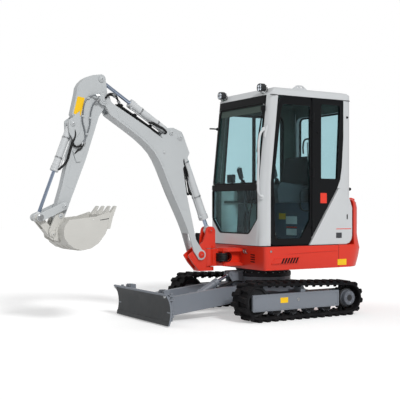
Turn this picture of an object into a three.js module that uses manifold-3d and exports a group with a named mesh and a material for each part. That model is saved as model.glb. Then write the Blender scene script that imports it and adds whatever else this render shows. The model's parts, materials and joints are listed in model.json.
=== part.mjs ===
// Mini excavator on rubber tracks, with an enclosed cab, a swing boom and a dozer blade.
// Millimetres. +X is forward, +Y is left, +Z is up. Everything is laid out with the slew axis at
// x = 0 and the ground at z = 0; the last lines move the whole machine so that its origin is at the
// bottom centre of its box.

import * as THREE from 'three';
import { mergeVertices } from 'three/addons/utils/BufferGeometryUtils.js';
import Module from 'manifold-3d';

const wasm = await Module();
wasm.setup();

// ---------------------------------------------------------------- driving dimensions

const GAP = 0.3; // between pieces that rest on each other
const PIN_FIT = 1; // between a pin and the eye that turns on it

// tracks
const TRACK_OUT = 750;
const TRACK_IN = 500;
const IDLER = { x: 567, z: 203, r: 203 };
const SPROCKET = { x: -585, z: 182, r: 182 };
const LUG = 24;
const BELT = 22;
const WHEEL_PLAY = 5; // between the belt and the wheels it runs on
const LUG_COUNT = 34;
const WHEEL_IN = 580;
const WHEEL_OUT = 670;
const FRAME_IN = 545;
const FRAME_OUT = 716;
const ROLLER_XS = [-330, -110, 110, 320];

// undercarriage centre and slew ring
const BODY_HALF_X = 330;
const BODY_HALF_Y = 270;
const BODY_BOTTOM = 140;
const BODY_TOP = 340;
const RING_R = 285;
const RING_TOP = 484;

// blade
const BLADE_PIVOT = { x: 450, z: 240 };
const BLADE_HALF = 550;
const BLADE_TOP = { x: 1537, z: 313 };
const BLADE_FOOT = { x: 1506, z: 13 };
const BLADE_ARM_Y = [180, 240];

// upper structure
const HOUSE_HALF = 550;
const HOUSE_FRONT = 372;
const HOUSE_BOTTOM = 490;
const DECK = 732;
const TAIL_X = -1100;
const TAIL_CORNER = 280;
const TAIL_CORNER_X = -775;
const TAIL_SPLIT = -600;
const TAIL_TOP = 1225;
const TAIL_SET = 38; // the tail's upper part is set forward of its swell
const SWING_X = 720;
const NOSE_HALF = 150;

// cab
const CAB = { left: 520, right: -460, front: 400, rear: -826, floor: 745, top: 2376 };
const CAB_WALL = 42;
const WINDSCREEN_KNEE = 1340;
const EAVES = 2288;
const FRONT_TOP_X = 300;
const PANE = 5;

// booms: pins in the x-z plane, as the machine stands
const BOOM_FOOT = { x: 844, z: 645 };
const BOOM_RAM = { base: { x: 1098, z: 1847 }, eye: { x: 717, z: 892 }, barrel: 900, rod: 800 };
const ARM_PIVOT = { x: 1941, z: 2178 };
const ARM_RAM = { base: { x: 1197, z: 1889 }, eye: { x: 1958, z: 2372 }, barrel: 520, rod: 540 };
const BUCKET_PIVOT = { x: 2391, z: 1055 };
const BUCKET_EAR = { x: 2470, z: 888 };
const IDLER_LINK = { x: 2355, z: 1150 };
const LINK_END = { x: 2597, z: 1041 };
const BUCKET_RAM = { base: { x: 2258, z: 1929 }, eye: LINK_END, barrel: 485, rod: 500 };
const BLADE_RAM = { base: { x: 860, z: 215 }, eye: { x: 440, z: 428 }, barrel: 300, rod: 312 };
const BOOM_HALF = 78;
const ARM_HALF = 45;
const BUCKET_HALF = 235;

// ---------------------------------------------------------------- materials

const paint = (color, roughness = 0.45, metalness = 0.05) =>
  new THREE.MeshStandardMaterial({ color, roughness, metalness });

const MATERIAL = {
  red: paint(0xd9371a),
  white: paint(0xd4d6d8),
  bucket: paint(0xc9c8c2),
  grey: paint(0x6f7784),
  black: paint(0x191a1d, 0.6),
  rubber: paint(0x1b1c20, 0.9, 0),
  iron: paint(0x2a2c31, 0.7, 0.4),
  chrome: paint(0xb9bec6, 0.15, 1),
  glass: new THREE.MeshStandardMaterial({ color: 0xa9c8cf, roughness: 0.05, transparent: true, opacity: 0.4 }),
  seat: paint(0x17181a, 0.9, 0),
  trim: paint(0x5c6166, 0.7, 0),
  lamp: paint(0x202225, 0.3),
};

// ---------------------------------------------------------------- outlines

const v2 = (x, y) => new THREE.Vector2(x, y);

// Corners [x, y, radius] to an outline whose corners are arcs of that radius.
function rounded(corners, steps = 3) {
  const points = [];
  corners.forEach(([x, y, radius], i) => {
    const corner = v2(x, y);
    if (!radius) {
      points.push(corner);
      return;
    }
    const [px, py] = corners.at(i - 1);
    const [nx, ny] = corners[(i + 1) % corners.length];
    const before = v2(px, py).sub(corner).normalize();
    const after = v2(nx, ny).sub(corner).normalize();
    const half = Math.acos(THREE.MathUtils.clamp(before.dot(after), -1, 1)) / 2;
    const middle = before.clone().add(after).normalize();
    const centre = corner.clone().addScaledVector(middle, radius / Math.sin(half));
    const start = corner.clone().addScaledVector(before, radius / Math.tan(half)).sub(centre);
    const end = corner.clone().addScaledVector(after, radius / Math.tan(half)).sub(centre);
    const turn = Math.atan2(start.cross(end), start.dot(end));
    for (let k = 0; k <= steps; k += 1) {
      points.push(start.clone().rotateAround(v2(0, 0), (turn * k) / steps).add(centre));
    }
  });
  return points;
}

const rectangle = (x0, x1, y0, y1, radius = 0) =>
  rounded([[x0, y0, radius], [x1, y0, radius], [x1, y1, radius], [x0, y1, radius]]);

// A smooth curve through the given points.
function curve(points, samples) {
  const spline = new THREE.SplineCurve(points.map(([x, y]) => v2(x, y)));
  return spline.getPoints(samples);
}

// Points of an arc, from one angle to another, in degrees.
function arc(x, y, radius, from, to, steps) {
  const points = [];
  for (let k = 0; k <= steps; k += 1) {
    const angle = THREE.MathUtils.degToRad(from + ((to - from) * k) / steps);
    points.push(v2(x + radius * Math.cos(angle), y + radius * Math.sin(angle)));
  }
  return points;
}

// ---------------------------------------------------------------- solids

function solidOf(geometry) {
  geometry.deleteAttribute('normal');
  geometry.deleteAttribute('uv');
  const merged = mergeVertices(geometry, 1e-3);
  const mesh = new wasm.Mesh({
    numProp: 3,
    vertProperties: new Float32Array(merged.attributes.position.array),
    triVerts: new Uint32Array(merged.index.array),
  });
  return new wasm.Manifold(mesh);
}

function geometryOf(solid) {
  const mesh = solid.getMesh();
  const geometry = new THREE.BufferGeometry();
  geometry.setAttribute('position', new THREE.BufferAttribute(new Float32Array(mesh.vertProperties), 3));
  geometry.setIndex(new THREE.BufferAttribute(new Uint32Array(mesh.triVerts), 1));
  geometry.computeVertexNormals();
  return geometry;
}

const join = (...solids) => solids.reduce((sum, solid) => sum.add(solid));
const cut = (solid, ...tools) => tools.reduce((rest, tool) => rest.subtract(tool), solid);

function extrude(points, depth, holes = []) {
  const shape = new THREE.Shape(points);
  shape.holes = holes.map((hole) => new THREE.Path(hole));
  return new THREE.ExtrudeGeometry(shape, { depth, bevelEnabled: false });
}

// An outline in the x-z plane, standing from y0 to y1.
function side(points, y0, y1, holes = []) {
  const geometry = extrude(points, y1 - y0, holes);
  geometry.rotateX(Math.PI / 2);
  geometry.translate(0, y1, 0);
  return solidOf(geometry);
}

// An outline in the x-y plane, standing from z0 to z1.
function plan(points, z0, z1, holes = []) {
  const geometry = extrude(points, z1 - z0, holes);
  geometry.translate(0, 0, z0);
  return solidOf(geometry);
}

// An outline in the y-z plane, standing from x0 to x1.
function front(points, x0, x1, holes = []) {
  const geometry = extrude(points, x1 - x0, holes);
  const turn = new THREE.Matrix4().makeBasis(
    new THREE.Vector3(0, 1, 0),
    new THREE.Vector3(0, 0, 1),
    new THREE.Vector3(1, 0, 0),
  );
  geometry.applyMatrix4(turn);
  geometry.translate(x0, 0, 0);
  return solidOf(geometry);
}

function box(x0, x1, y0, y1, z0, z1) {
  const geometry = new THREE.BoxGeometry(x1 - x0, y1 - y0, z1 - z0);
  geometry.translate((x0 + x1) / 2, (y0 + y1) / 2, (z0 + z1) / 2);
  return solidOf(geometry);
}

// A round bar across the machine, from y0 to y1.
function bar(at, radius, y0, y1, segments = 14) {
  const geometry = new THREE.CylinderGeometry(radius, radius, y1 - y0, segments);
  geometry.translate(at.x, (y0 + y1) / 2, at.z);
  return solidOf(geometry);
}

// An upright round bar, from z0 to z1.
function post(x, y, radius, z0, z1, segments = 16) {
  const geometry = new THREE.CylinderGeometry(radius, radius, z1 - z0, segments);
  geometry.rotateX(Math.PI / 2);
  geometry.translate(x, y, (z0 + z1) / 2);
  return solidOf(geometry);
}

// A round bar between two points of space.
function strut(a, b, radius, segments = 10) {
  const from = new THREE.Vector3(...a);
  const to = new THREE.Vector3(...b);
  const along = to.clone().sub(from);
  const geometry = new THREE.CylinderGeometry(radius, radius, along.length(), segments);
  const turn = new THREE.Quaternion().setFromUnitVectors(new THREE.Vector3(0, 1, 0), along.clone().normalize());
  geometry.applyQuaternion(turn);
  geometry.translate(...from.add(to).multiplyScalar(0.5).toArray());
  return solidOf(geometry);
}

// A round bar that bends through the points of a path.
function bentBar(path, radius, steps) {
  const spline = new THREE.CatmullRomCurve3(path.map((point) => new THREE.Vector3(...point)));
  const shape = new THREE.Shape(arc(0, 0, radius, 0, 300, 5));
  return solidOf(new THREE.ExtrudeGeometry(shape, { steps, extrudePath: spline, bevelEnabled: false }));
}

// The same thing on both sides of the machine.
const bothSides = (make) => join(make(1), make(-1));

// From y = near to y = far on the side given by sign, smallest first.
const span = (sign, near, far) => (sign > 0 ? [near, far] : [-far, -near]);

const eyeHole = (at, radius, half) => bar(at, radius + PIN_FIT, -half, half);

// ---------------------------------------------------------------- scene graph

const machine = new THREE.Group();
machine.userData.pivot = new THREE.Vector3();

// A group that turns or slides as one body, standing at its pivot.
function body(parent, name, x, y, z) {
  const group = new THREE.Group();
  group.name = name;
  group.userData.pivot = new THREE.Vector3(x, y, z);
  group.position.copy(group.userData.pivot).sub(parent.userData.pivot);
  parent.add(group);
  return group;
}

// A named piece. Its shape is laid out from the slew axis, so it is moved back by its body's pivot.
function piece(group, name, solid, material) {
  const mesh = new THREE.Mesh(geometryOf(solid), material);
  mesh.name = name;
  mesh.position.copy(group.userData.pivot).negate();
  group.add(mesh);
}

// ---------------------------------------------------------------- tracks

// Length along the loop and the point there, for a belt lying inside the lug tips by inset.
function trackLoop(inset) {
  const lean = 2 * Math.atan2(IDLER.z - SPROCKET.z, IDLER.x - SPROCKET.x);
  const front = { ...IDLER, r: IDLER.r - inset };
  const rear = { ...SPROCKET, r: SPROCKET.r - inset };
  const topRun = Math.hypot(front.x - rear.x, front.z - rear.z);
  const frontTurn = Math.PI - lean;
  const rearTurn = Math.PI + lean;
  const lengths = [topRun, rear.r * rearTurn, topRun, front.r * frontTurn];
  const total = lengths.reduce((sum, length) => sum + length, 0);
  const rim = (wheel, angle) => v2(wheel.x + wheel.r * Math.cos(angle), wheel.z + wheel.r * Math.sin(angle));
  const topAngle = Math.PI / 2 + lean;
  const at = (distance) => {
    let rest = ((distance % total) + total) % total;
    if (rest < lengths[0]) return rim(front, topAngle).lerp(rim(rear, topAngle), rest / lengths[0]);
    rest -= lengths[0];
    if (rest < lengths[1]) return rim(rear, topAngle + rest / rear.r);
    rest -= lengths[1];
    const down = -Math.PI / 2;
    if (rest < lengths[2]) return rim(rear, down).lerp(rim(front, down), rest / lengths[2]);
    rest -= lengths[2];
    return rim(front, down + rest / front.r);
  };
  return { total, at };
}

function makeTrack(sign) {
  const tips = trackLoop(0);
  const roots = trackLoop(LUG);
  const inner = trackLoop(LUG + BELT);
  const outline = [];
  for (let k = 0; k < LUG_COUNT; k += 1) {
    const share = (part) => (k + part) / LUG_COUNT;
    outline.push(roots.at(share(0.12) * roots.total));
    outline.push(tips.at(share(0.3) * tips.total));
    outline.push(tips.at(share(0.7) * tips.total));
    outline.push(roots.at(share(0.88) * roots.total));
  }
  const innerCount = Math.round(1.5 * LUG_COUNT);
  const hollow = [];
  for (let k = 0; k < innerCount; k += 1) {
    hollow.push(inner.at((k / innerCount) * inner.total));
  }
  return side(outline, ...span(sign, TRACK_IN, TRACK_OUT), [hollow]);
}

function makeTrackFrame(sign) {
  const across = (near, far) => span(sign, near, far);
  const beltTop = (x) => THREE.MathUtils.mapLinear(x, SPROCKET.x, IDLER.x, SPROCKET.z + SPROCKET.r, IDLER.z + IDLER.r);
  const rollerR = 58;
  const rollerZ = LUG + BELT + rollerR + 1;
  const topRollerR = 30;
  const topRollerZ = beltTop(0) - LUG - BELT - topRollerR - 3;
  const panel = rectangle(-457, 649, 106, 272, 14);
  const innerPlate = rounded([[-640, 120, 40], [680, 120, 40], [680, 272, 40], [-640, 272, 40]]);
  return join(
    side(panel, ...across(694, FRAME_OUT)),
    box(-420, 380, ...across(FRAME_IN + 8, 700), 112, 268),
    side(innerPlate, ...across(FRAME_IN, 564)),
    ...ROLLER_XS.map((x) => bar({ x, z: rollerZ }, rollerR, ...across(WHEEL_IN, WHEEL_OUT), 16)),
    box(-30, 30, ...across(570, 690), 260, topRollerZ),
    bar({ x: 0, z: topRollerZ }, topRollerR, ...across(WHEEL_IN, WHEEL_OUT), 16),
  );
}

function makeIdler(sign) {
  const across = (near, far) => span(sign, near, far);
  const wheelR = IDLER.r - LUG - BELT - WHEEL_PLAY;
  return join(
    bar(IDLER, wheelR, ...across(WHEEL_IN, WHEEL_OUT), 24),
    bar(IDLER, 48, ...across(564 + GAP, 694 - GAP)),
  );
}

function makeSprocket(sign) {
  const across = (near, far) => span(sign, near, far);
  const teeth = 17;
  const tip = SPROCKET.r - LUG - BELT - WHEEL_PLAY;
  const root = tip - 22;
  const outline = [];
  for (let k = 0; k < teeth; k += 1) {
    for (const [part, radius] of [[0.05, root], [0.3, tip], [0.6, tip], [0.85, root]]) {
      const angle = ((k + part) / teeth) * 2 * Math.PI;
      outline.push(v2(SPROCKET.x + radius * Math.cos(angle), SPROCKET.z + radius * Math.sin(angle)));
    }
  }
  return join(
    side(outline, ...across(606, 640)),
    bar(SPROCKET, 100, ...across(564 + GAP, 690), 18),
    bar(SPROCKET, 74, ...across(680, 736), 18),
  );
}

// ---------------------------------------------------------------- undercarriage centre

function makeCarBody() {
  const crossTube = (x) => box(x - 60, x + 60, -FRAME_IN + GAP, FRAME_IN - GAP, 160, 262);
  const centre = plan(
    rounded([[-BODY_HALF_X, -BODY_HALF_Y, 60], [BODY_HALF_X, -BODY_HALF_Y, 60],
      [BODY_HALF_X, BODY_HALF_Y, 60], [-BODY_HALF_X, BODY_HALF_Y, 60]]),
    BODY_BOTTOM,
    BODY_TOP,
  );
  const lugOutline = rounded([[300, 190, 0], [BLADE_PIVOT.x + 62, 178, 60], [BLADE_PIVOT.x + 62, 302, 60],
    [300, 330, 0]]);
  const lug = (sign) => side(lugOutline, ...span(sign, 118, 170));
  const pin = bar(BLADE_PIVOT, 24, -BLADE_ARM_Y[1] - 8, BLADE_ARM_Y[1] + 8);
  const eye = BLADE_RAM.eye;
  const ramLugOutline = rounded([[290, 330, 0], [420, 330, 0], [eye.x + 38, eye.z - 20, 20],
    [eye.x + 34, eye.z + 32, 20], [290, eye.z + 32, 0]]);
  const ramLug = (sign) => side(ramLugOutline, ...span(sign, 34, 52));
  return join(
    centre,
    crossTube(-200),
    crossTube(200),
    post(0, 0, RING_R + 15, BODY_TOP - 20, 400, 28),
    bothSides(lug),
    pin,
    bothSides(ramLug),
    bothSides((sign) => bar(eye, 18, ...span(sign, 34, 60))),
  );
}

const makeSlewRing = () => post(0, 0, RING_R, 400 + GAP, RING_TOP, 32);

// ---------------------------------------------------------------- blade

function makeBlade() {
  const [armNear, armFar] = BLADE_ARM_Y;
  const concave = curve([[BLADE_TOP.x, BLADE_TOP.z], [1496, 240], [1482, 150], [1490, 70],
    [BLADE_FOOT.x, BLADE_FOOT.z]], 8);
  const back = concave.map((point) => v2(point.x - 18, point.y)).reverse();
  const mouldboard = side([...concave, ...back], -BLADE_HALF, BLADE_HALF);
  const stiffener = box(1424, 1478, -470, 470, 80, 232);
  const armOutline = [
    v2(1440, 244),
    v2(1275, 247),
    v2(640, 312),
    ...arc(BLADE_PIVOT.x, BLADE_PIVOT.z, 76, 80, 262, 8),
    v2(640, 134),
    v2(1275, 63),
    v2(1440, 56),
  ];
  const arm = (sign) => side(armOutline, ...span(sign, armNear, armFar));
  const tie = box(915, 1440, -armNear - 10, armNear + 10, 110, 190);
  const base = BLADE_RAM.base;
  const lugOutline = rounded([[base.x - 40, base.z - 36, 20], [980, 150, 0], [980, 190, 0],
    [base.x + 40, base.z + 34, 30], [base.x - 36, base.z + 34, 30]]);
  const ramLug = (sign) => side(lugOutline, ...span(sign, 40, 60));
  const folded = (sign) => box(1405, 1462, ...span(sign, 300, 400), 236, 338);
  return cut(
    join(
      mouldboard,
      stiffener,
      bothSides(arm),
      tie,
      bothSides(ramLug),
      bar(base, 18, -60, 60),
      bothSides(folded),
      box(1405, 1462, -400, 400, 200, 240),
    ),
    eyeHole(BLADE_PIVOT, 24, 400),
  );
}

// ---------------------------------------------------------------- hydraulic rams

// A ram between two pins of the x-z plane: its barrel, and its rod, whose eye holds the middle of the pin
// there. The ends of that pin are stubs in the lugs on either side.
function makeRam({ base, eye, barrel, rod }, { bore, rodR, half, eyeHalf = half, pinR = 18, eyePinR = pinR }) {
  const length = Math.hypot(eye.x - base.x, eye.z - base.z);
  const at = (distance) => {
    const part = distance / length;
    return [base.x + (eye.x - base.x) * part, 0, base.z + (eye.z - base.z) * part];
  };
  const wall = bore + 7;
  const hollowStart = 2.2 * pinR;
  const tube = cut(
    join(
      strut(at(0.6 * pinR), at(barrel), wall, 14),
      strut(at(barrel - 46), at(barrel), wall + 6, 14),
      bar(base, 1.9 * pinR, -half, half),
    ),
    strut(at(hollowStart), at(barrel + 5), rodR + 2.5, 10),
    eyeHole(base, pinR, half + 5),
  );
  const shaft = join(
    strut(at(length - rod), at(length - eyePinR), rodR, 10),
    bar(eye, 1.9 * eyePinR, -eyeHalf, eyeHalf),
  );
  return { tube, shaft };
}

function addRam(baseGroup, name, ram, sizes, material) {
  const { tube, shaft } = makeRam(ram, sizes);
  const barrelBody = body(baseGroup, `${name}_barrel_body`, ram.base.x, 0, ram.base.z);
  piece(barrelBody, `${name}_cylinder_barrel`, tube, material);
  const rodBody = body(barrelBody, `${name}_rod_body`, ram.eye.x, 0, ram.eye.z);
  piece(rodBody, `${name}_cylinder_rod`, shaft, MATERIAL.chrome);
}

// ---------------------------------------------------------------- upper structure

// The plan of the house: straight sides, then round corners into a bowed tail.
function housePlan(inset = 0) {
  const half = HOUSE_HALF - inset;
  const corner = TAIL_CORNER - inset;
  const centreY = HOUSE_HALF - TAIL_CORNER;
  const bow = curve(
    [[TAIL_CORNER_X - corner, centreY], [TAIL_X + inset, 0], [TAIL_CORNER_X - corner, -centreY]],
    8,
  ).slice(1, -1);
  return [
    ...arc(HOUSE_FRONT - 40, half - 40, 40 - inset * 0.4, 0, 90, 3),
    ...arc(TAIL_CORNER_X, centreY, corner, 90, 180, 6),
    ...bow,
    ...arc(TAIL_CORNER_X, -centreY, corner, 180, 270, 6),
    ...arc(HOUSE_FRONT - 40, -half + 40, 40 - inset * 0.4, 270, 360, 3),
  ];
}

function makeUpperFrame() {
  const skirt = plan(housePlan(), HOUSE_BOTTOM, DECK);
  const ahead = box(TAIL_SPLIT + GAP, 1200, -700, 700, 400, 1000);
  const neck = 52;
  const nosePlate = (z0, z1, half) =>
    plan(
      [
        v2(300, half + 40),
        v2(560, half),
        v2(625, neck),
        ...arc(SWING_X, 0, 66, 60, -60, 6),
        v2(625, -neck),
        v2(560, -half),
        v2(300, -half - 40),
      ],
      z0,
      z1,
    );
  const web = (sign) => {
    const [y0, y1] = span(sign, 84, 108);
    return cut(box(340, 590, y0, y1, 520, 700), bar({ x: 535, z: 612 }, 42, y0 - 5, y1 + 5));
  };
  const boss = join(post(SWING_X, 0, 64, 530, 694, 24), box(560, SWING_X, -neck, neck, 540, 684));
  return cut(
    join(
      skirt.intersect(ahead),
      nosePlate(520, 552, NOSE_HALF - 30),
      nosePlate(672, 702, NOSE_HALF),
      bothSides(web),
      boss,
    ),
    post(SWING_X, 0, 30 + PIN_FIT, 500, 720, 20),
  );
}

// The tail from its foot to its top: each level's height and how far it is set forward of the swell.
const TAIL_LEVELS = [
  [HOUSE_BOTTOM, 60],
  [600, 20],
  [690, 0],
  [DECK + 60, 28],
  [850, TAIL_SET],
  [1130, TAIL_SET],
  [1190, TAIL_SET + 18],
  [TAIL_TOP - 1, TAIL_SET + 62],
];

function tailBlock() {
  const level = ([z, forward]) => plan(housePlan(), z, z + 1).translate([forward, 0, 0]);
  const storeys = TAIL_LEVELS.slice(1).map((upper, i) => wasm.Manifold.hull([level(TAIL_LEVELS[i]), level(upper)]));
  return join(...storeys);
}

function makeCounterweight() {
  const behind = box(-1300, TAIL_SPLIT, -700, 700, 400, 1300);
  const aboveDeckAhead = box(CAB.rear - 2, -500, -700, 700, DECK, 1400);
  const hoodBay = box(-1300, CAB.rear - 2, -372, 372, DECK + 30, 1400);
  const shoulder = front(
    rounded([[-560, 400, 0], [560, 400, 0], [560, TAIL_TOP, 110], [-560, TAIL_TOP, 110]]),
    -1300,
    -500,
  );
  const engineBay = box(-1010, -560, -280, 280, 530, 1400);
  return cut(tailBlock().intersect(behind).intersect(shoulder), aboveDeckAhead, hoodBay, engineBay);
}

function makeHood() {
  const outer = plan(housePlan(2), DECK + 34, 1240).translate([TAIL_SET, 0, 0]);
  const inner = plan(housePlan(16), DECK + 20, 1226).translate([TAIL_SET, 0, 0]);
  const bay = box(-1300, -842, -366, 366, 700, 1300);
  const back = TAIL_X + TAIL_SET;
  const topRound = side(
    rounded([[back, 700, 0], [-842, 700, 0], [-842, 1240, 0], [back, 1240, 110]]),
    -400,
    400,
  );
  const shell = outer.intersect(bay).intersect(topRound);
  const hollow = inner.intersect(box(-1300, -800, -352, 352, 690, 1300)).intersect(
    side(rounded([[back + 14, 690, 0], [-800, 690, 0], [-800, 1226, 0], [back + 14, 1226, 100]]), -400, 400),
  );
  return cut(shell, hollow);
}

const makeEngine = () => box(-1000, TAIL_SPLIT - 6, -250, 250, 560, 1090);

function makeSideCover() {
  const outline = rounded([[-215, 736, 0], [-806, 736, 90], [-806, 1130, 60], [-764, 1240, 0], [-688, 1300, 0],
    [-640, 1335, 0], [-610, 1330, 0]]);
  return side(outline, 486, 536);
}

function makeRightCover() {
  const outline = rounded([[-806, 736, 60], [300, 736, 20], [280, 1010, 60], [120, 1130, 60], [-806, 1170, 60]]);
  return side(outline, -548, -468);
}

// ---------------------------------------------------------------- cab

// The cab as one block, grown inwards by inset: its side profile, with round corners in plan and front view.
function cabBlock(inset) {
  const { left, right, front: nose, rear, floor, top } = CAB;
  const profile = side(
    rounded([
      [rear + inset, floor - 5 + inset, 0],
      [nose - inset, floor - 5 + inset, 0],
      [nose - inset, WINDSCREEN_KNEE, 0],
      [FRONT_TOP_X - inset, EAVES, 0],
      [FRONT_TOP_X - 95 - inset, top - inset, 60],
      [rear + 20 + inset, top - inset, 90],
    ]),
    right + inset,
    left - inset,
  );
  const roofRound = front(
    rounded([
      [right + inset, 600, 0],
      [left - inset, 600, 0],
      [left - inset, top - inset, 70],
      [right + inset, top - inset, 70],
    ]),
    -1200,
    800,
  );
  const corner = Math.max(90 - inset, 30);
  const rearRound = plan(
    rounded([[rear + inset, right + inset, corner], [1500, right + inset, 0], [1500, left - inset, 0],
      [rear + inset, left - inset, corner]]),
    500,
    2600,
  );
  const frontRound = plan(
    rounded([[-2000, right + inset, 0], [nose - inset, right + inset, corner], [nose - inset, left - inset, corner],
      [-2000, left - inset, 0]]),
    500,
    WINDSCREEN_KNEE,
  );
  const lean = (nose - FRONT_TOP_X) / (EAVES - WINDSCREEN_KNEE);
  const leaning = extrude(
    rounded([[-2000, right + inset, 0], [nose - inset, right + inset, corner], [nose - inset, left - inset, corner],
      [-2000, left - inset, 0]]),
    1200,
  );
  leaning.applyMatrix4(new THREE.Matrix4().makeShear(0, 0, 0, 0, -lean, 0));
  leaning.translate(0, 0, WINDSCREEN_KNEE);
  const frontTool = join(frontRound, solidOf(leaning));
  return profile.intersect(roofRound).intersect(rearRound).intersect(frontTool);
}

// Where the panels of the cab meet, seen from the side.
const SEAM = {
  post: [[284, 600], [284, WINDSCREEN_KNEE + 60], [190, EAVES]],
  rear: -690,
};

// The edge where the black quarter panel meets the white rear frame, from its foot up.
const QUARTER_EDGE = [v2(-606, 1342), v2(-646, 1430), v2(-668, 1560), v2(-684, 1760)];

const cabShell = cut(cabBlock(0), cabBlock(CAB_WALL), box(-640, 380, -420, 480, 700, 800));
const frontRegion = (shift) =>
  side([...SEAM.post.map(([x, z]) => v2(x + shift, z)), v2(700, EAVES), v2(700, 600)], -800, 800);
const middleRegion = (shift) =>
  side(
    [...SEAM.post.map(([x, z]) => v2(x - shift, z)), v2(SEAM.rear + shift, EAVES), v2(SEAM.rear + shift, 600)],
    -800,
    800,
  );
const underRoof = box(-1200, 800, -800, 800, 600, EAVES - GAP);

function makeCabFront() {
  const upper = rounded([[-400, 1372, 40], [440, 1372, 40], [440, 2212, 50], [-400, 2212, 50]]);
  const lower = rounded([[-400, 1318, 20], [440, 1318, 20], [440, 1010, 60], [296, 858, 70], [-250, 858, 70],
    [-400, 1010, 60]]);
  const frame = cabShell.intersect(frontRegion(0)).intersect(underRoof);
  return cut(frame, front(upper, 200, 600), front(lower, 200, 600));
}

function makeCabRear() {
  const window = rounded([[-380, 1430, 60], [440, 1430, 60], [440, 2180, 60], [-380, 2180, 60]]);
  const region = box(-1200, SEAM.rear, -800, 800, 1190, EAVES - GAP);
  const besidePanel = side(
    [v2(-1200, 1190), v2(-600, 1190), ...QUARTER_EDGE.map((p) => v2(p.x - GAP, p.y)), v2(SEAM.rear, 1880),
      v2(SEAM.rear, EAVES - GAP), v2(-1200, EAVES - GAP)],
    400,
    700,
  );
  const belowCover = side(
    [v2(-860, 600), v2(-860, 1250), v2(-764, 1241), v2(-688, 1301), v2(-640, 1336), v2(-600, 1336), v2(-600, 600)],
    400,
    700,
  );
  return cut(cabShell.intersect(join(region, besidePanel)), front(window, -1000, -700), belowCover);
}

// The quarter panel behind the door: black, with its window, above a slanting lower edge.
function makeQuarterPanel() {
  const window = rounded([[-612, 1432, 20], [-372, 1432, 20], [-372, 2236, 30], [-652, 2236, 40]]);
  const outline = [
    v2(-258, 2289),
    v2(-258, 823),
    ...QUARTER_EDGE,
    v2(SEAM.rear + GAP, 1880),
    v2(SEAM.rear + GAP, 2289),
  ];
  const leftSide = side(outline, 400, 700);
  return cut(cabShell.intersect(middleRegion(GAP)).intersect(leftSide).intersect(underRoof), side(window, 300, 700));
}

function makeRightWall() {
  const window = rounded([[-600, 1370, 50], [240, 1370, 50], [170, 2180, 60], [-600, 2180, 60]]);
  const region = box(-1200, 800, -800, -400, 700, EAVES - GAP);
  return cut(cabShell.intersect(middleRegion(GAP)).intersect(region), side(window, -700, -300));
}

const roofBlock = (inset) => cabBlock(inset).intersect(box(-1200, 800, -800, 800, EAVES, 2500));

function makeRoof() {
  const eyeOutline = rounded([[-190, 2340, 0], [-70, 2340, 0], [-112, 2420, 26], [-148, 2420, 26]]);
  const eye = (y) => cut(side(eyeOutline, y - 6, y + 6), bar({ x: -130, z: 2397 }, 11, y - 9, y + 9, 12));
  const lampArm = (y) => box(232, 300, y - 20, y + 20, 2318, 2330);
  return join(cut(roofBlock(0), roofBlock(CAB_WALL)), eye(440), eye(-400), lampArm(375), lampArm(-365));
}

function makeFloor() {
  return box(-330, 352, -414, 474, DECK + 3, 765);
}

// The step in the floor over the engine, which carries the seat.
function makeEnginePlatform() {
  const outline = [v2(-640, 1150), v2(-340, 1150), v2(-340, 772), v2(-304, 772), v2(-304, 1186), v2(-640, 1186)];
  return side(outline, -414, 474);
}

function makeLamp(y) {
  const head = front(rectangle(y - 44, y + 44, 2330, 2412, 16), 262, 322);
  return head;
}

// ---------------------------------------------------------------- glass

const sheet = (points, y) => side(points, y - PANE / 2, y + PANE / 2);

function makeUpperWindscreen() {
  const lean = (CAB.front - FRONT_TOP_X) / (EAVES - WINDSCREEN_KNEE);
  const pane = extrude(rectangle(-398, 438, 1374, 2210, 50), PANE);
  const turn = new THREE.Matrix4().makeBasis(
    new THREE.Vector3(0, 1, 0),
    new THREE.Vector3(-lean, 0, 1),
    new THREE.Vector3(1, 0, 0),
  );
  pane.applyMatrix4(turn);
  pane.translate(CAB.front - 26 + lean * WINDSCREEN_KNEE, 0, 0);
  return solidOf(pane);
}

function makeLowerWindscreen() {
  const outline = rounded([[-398, 1316, 20], [438, 1316, 20], [438, 1011, 60], [295, 860, 70], [-249, 860, 70],
    [-398, 1011, 60]]);
  return front(outline, CAB.front - 26, CAB.front - 26 + PANE);
}

const makeQuarterWindow = () =>
  sheet(rounded([[-610, 1434, 20], [-374, 1434, 20], [-374, 2234, 30], [-650, 2234, 40]]), CAB.left - 16);

const makeRightWindow = () =>
  sheet(rounded([[-598, 1372, 50], [238, 1372, 50], [168, 2178, 60], [-598, 2178, 60]]), CAB.right + 16);

const makeRearWindow = () =>
  front(rounded([[-378, 1432, 60], [438, 1432, 60], [438, 2178, 60], [-378, 2178, 60]]), CAB.rear + 12,
    CAB.rear + 12 + PANE);

// ---------------------------------------------------------------- door

const DOOR_HINGE = { x: -262, y: 530 };
const DOOR_OUTLINE = [
  [-214, 738, 0],
  [278, 738, 40],
  [278, 1400, 0],
  [198, 2150, 0],
  [176, 2282, 90],
  [-252, 2282, 40],
  [-252, 796, 0],
];
const DOOR_WINDOW = [[-112, 806, 40], [232, 806, 50], [250, 1380, 60], [150, 2206, 60], [-236, 2206, 40], [-236, 1000, 60]];
const DOOR_PANE = [[-111, 808, 40], [230, 808, 50], [248, 1380, 60], [148, 2204, 60], [-234, 2204, 40], [-234, 1001, 60]];

function makeDoor() {
  const slab = side(rounded(DOOR_OUTLINE), CAB.left - CAB_WALL, CAB.left);
  const glassHole = side(rounded(DOOR_WINDOW), 400, 600);
  return cut(slab, glassHole);
}

const makeDoorGlass = () => sheet(rounded(DOOR_PANE), CAB.left - 14);

// ---------------------------------------------------------------- inside the cab

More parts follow.
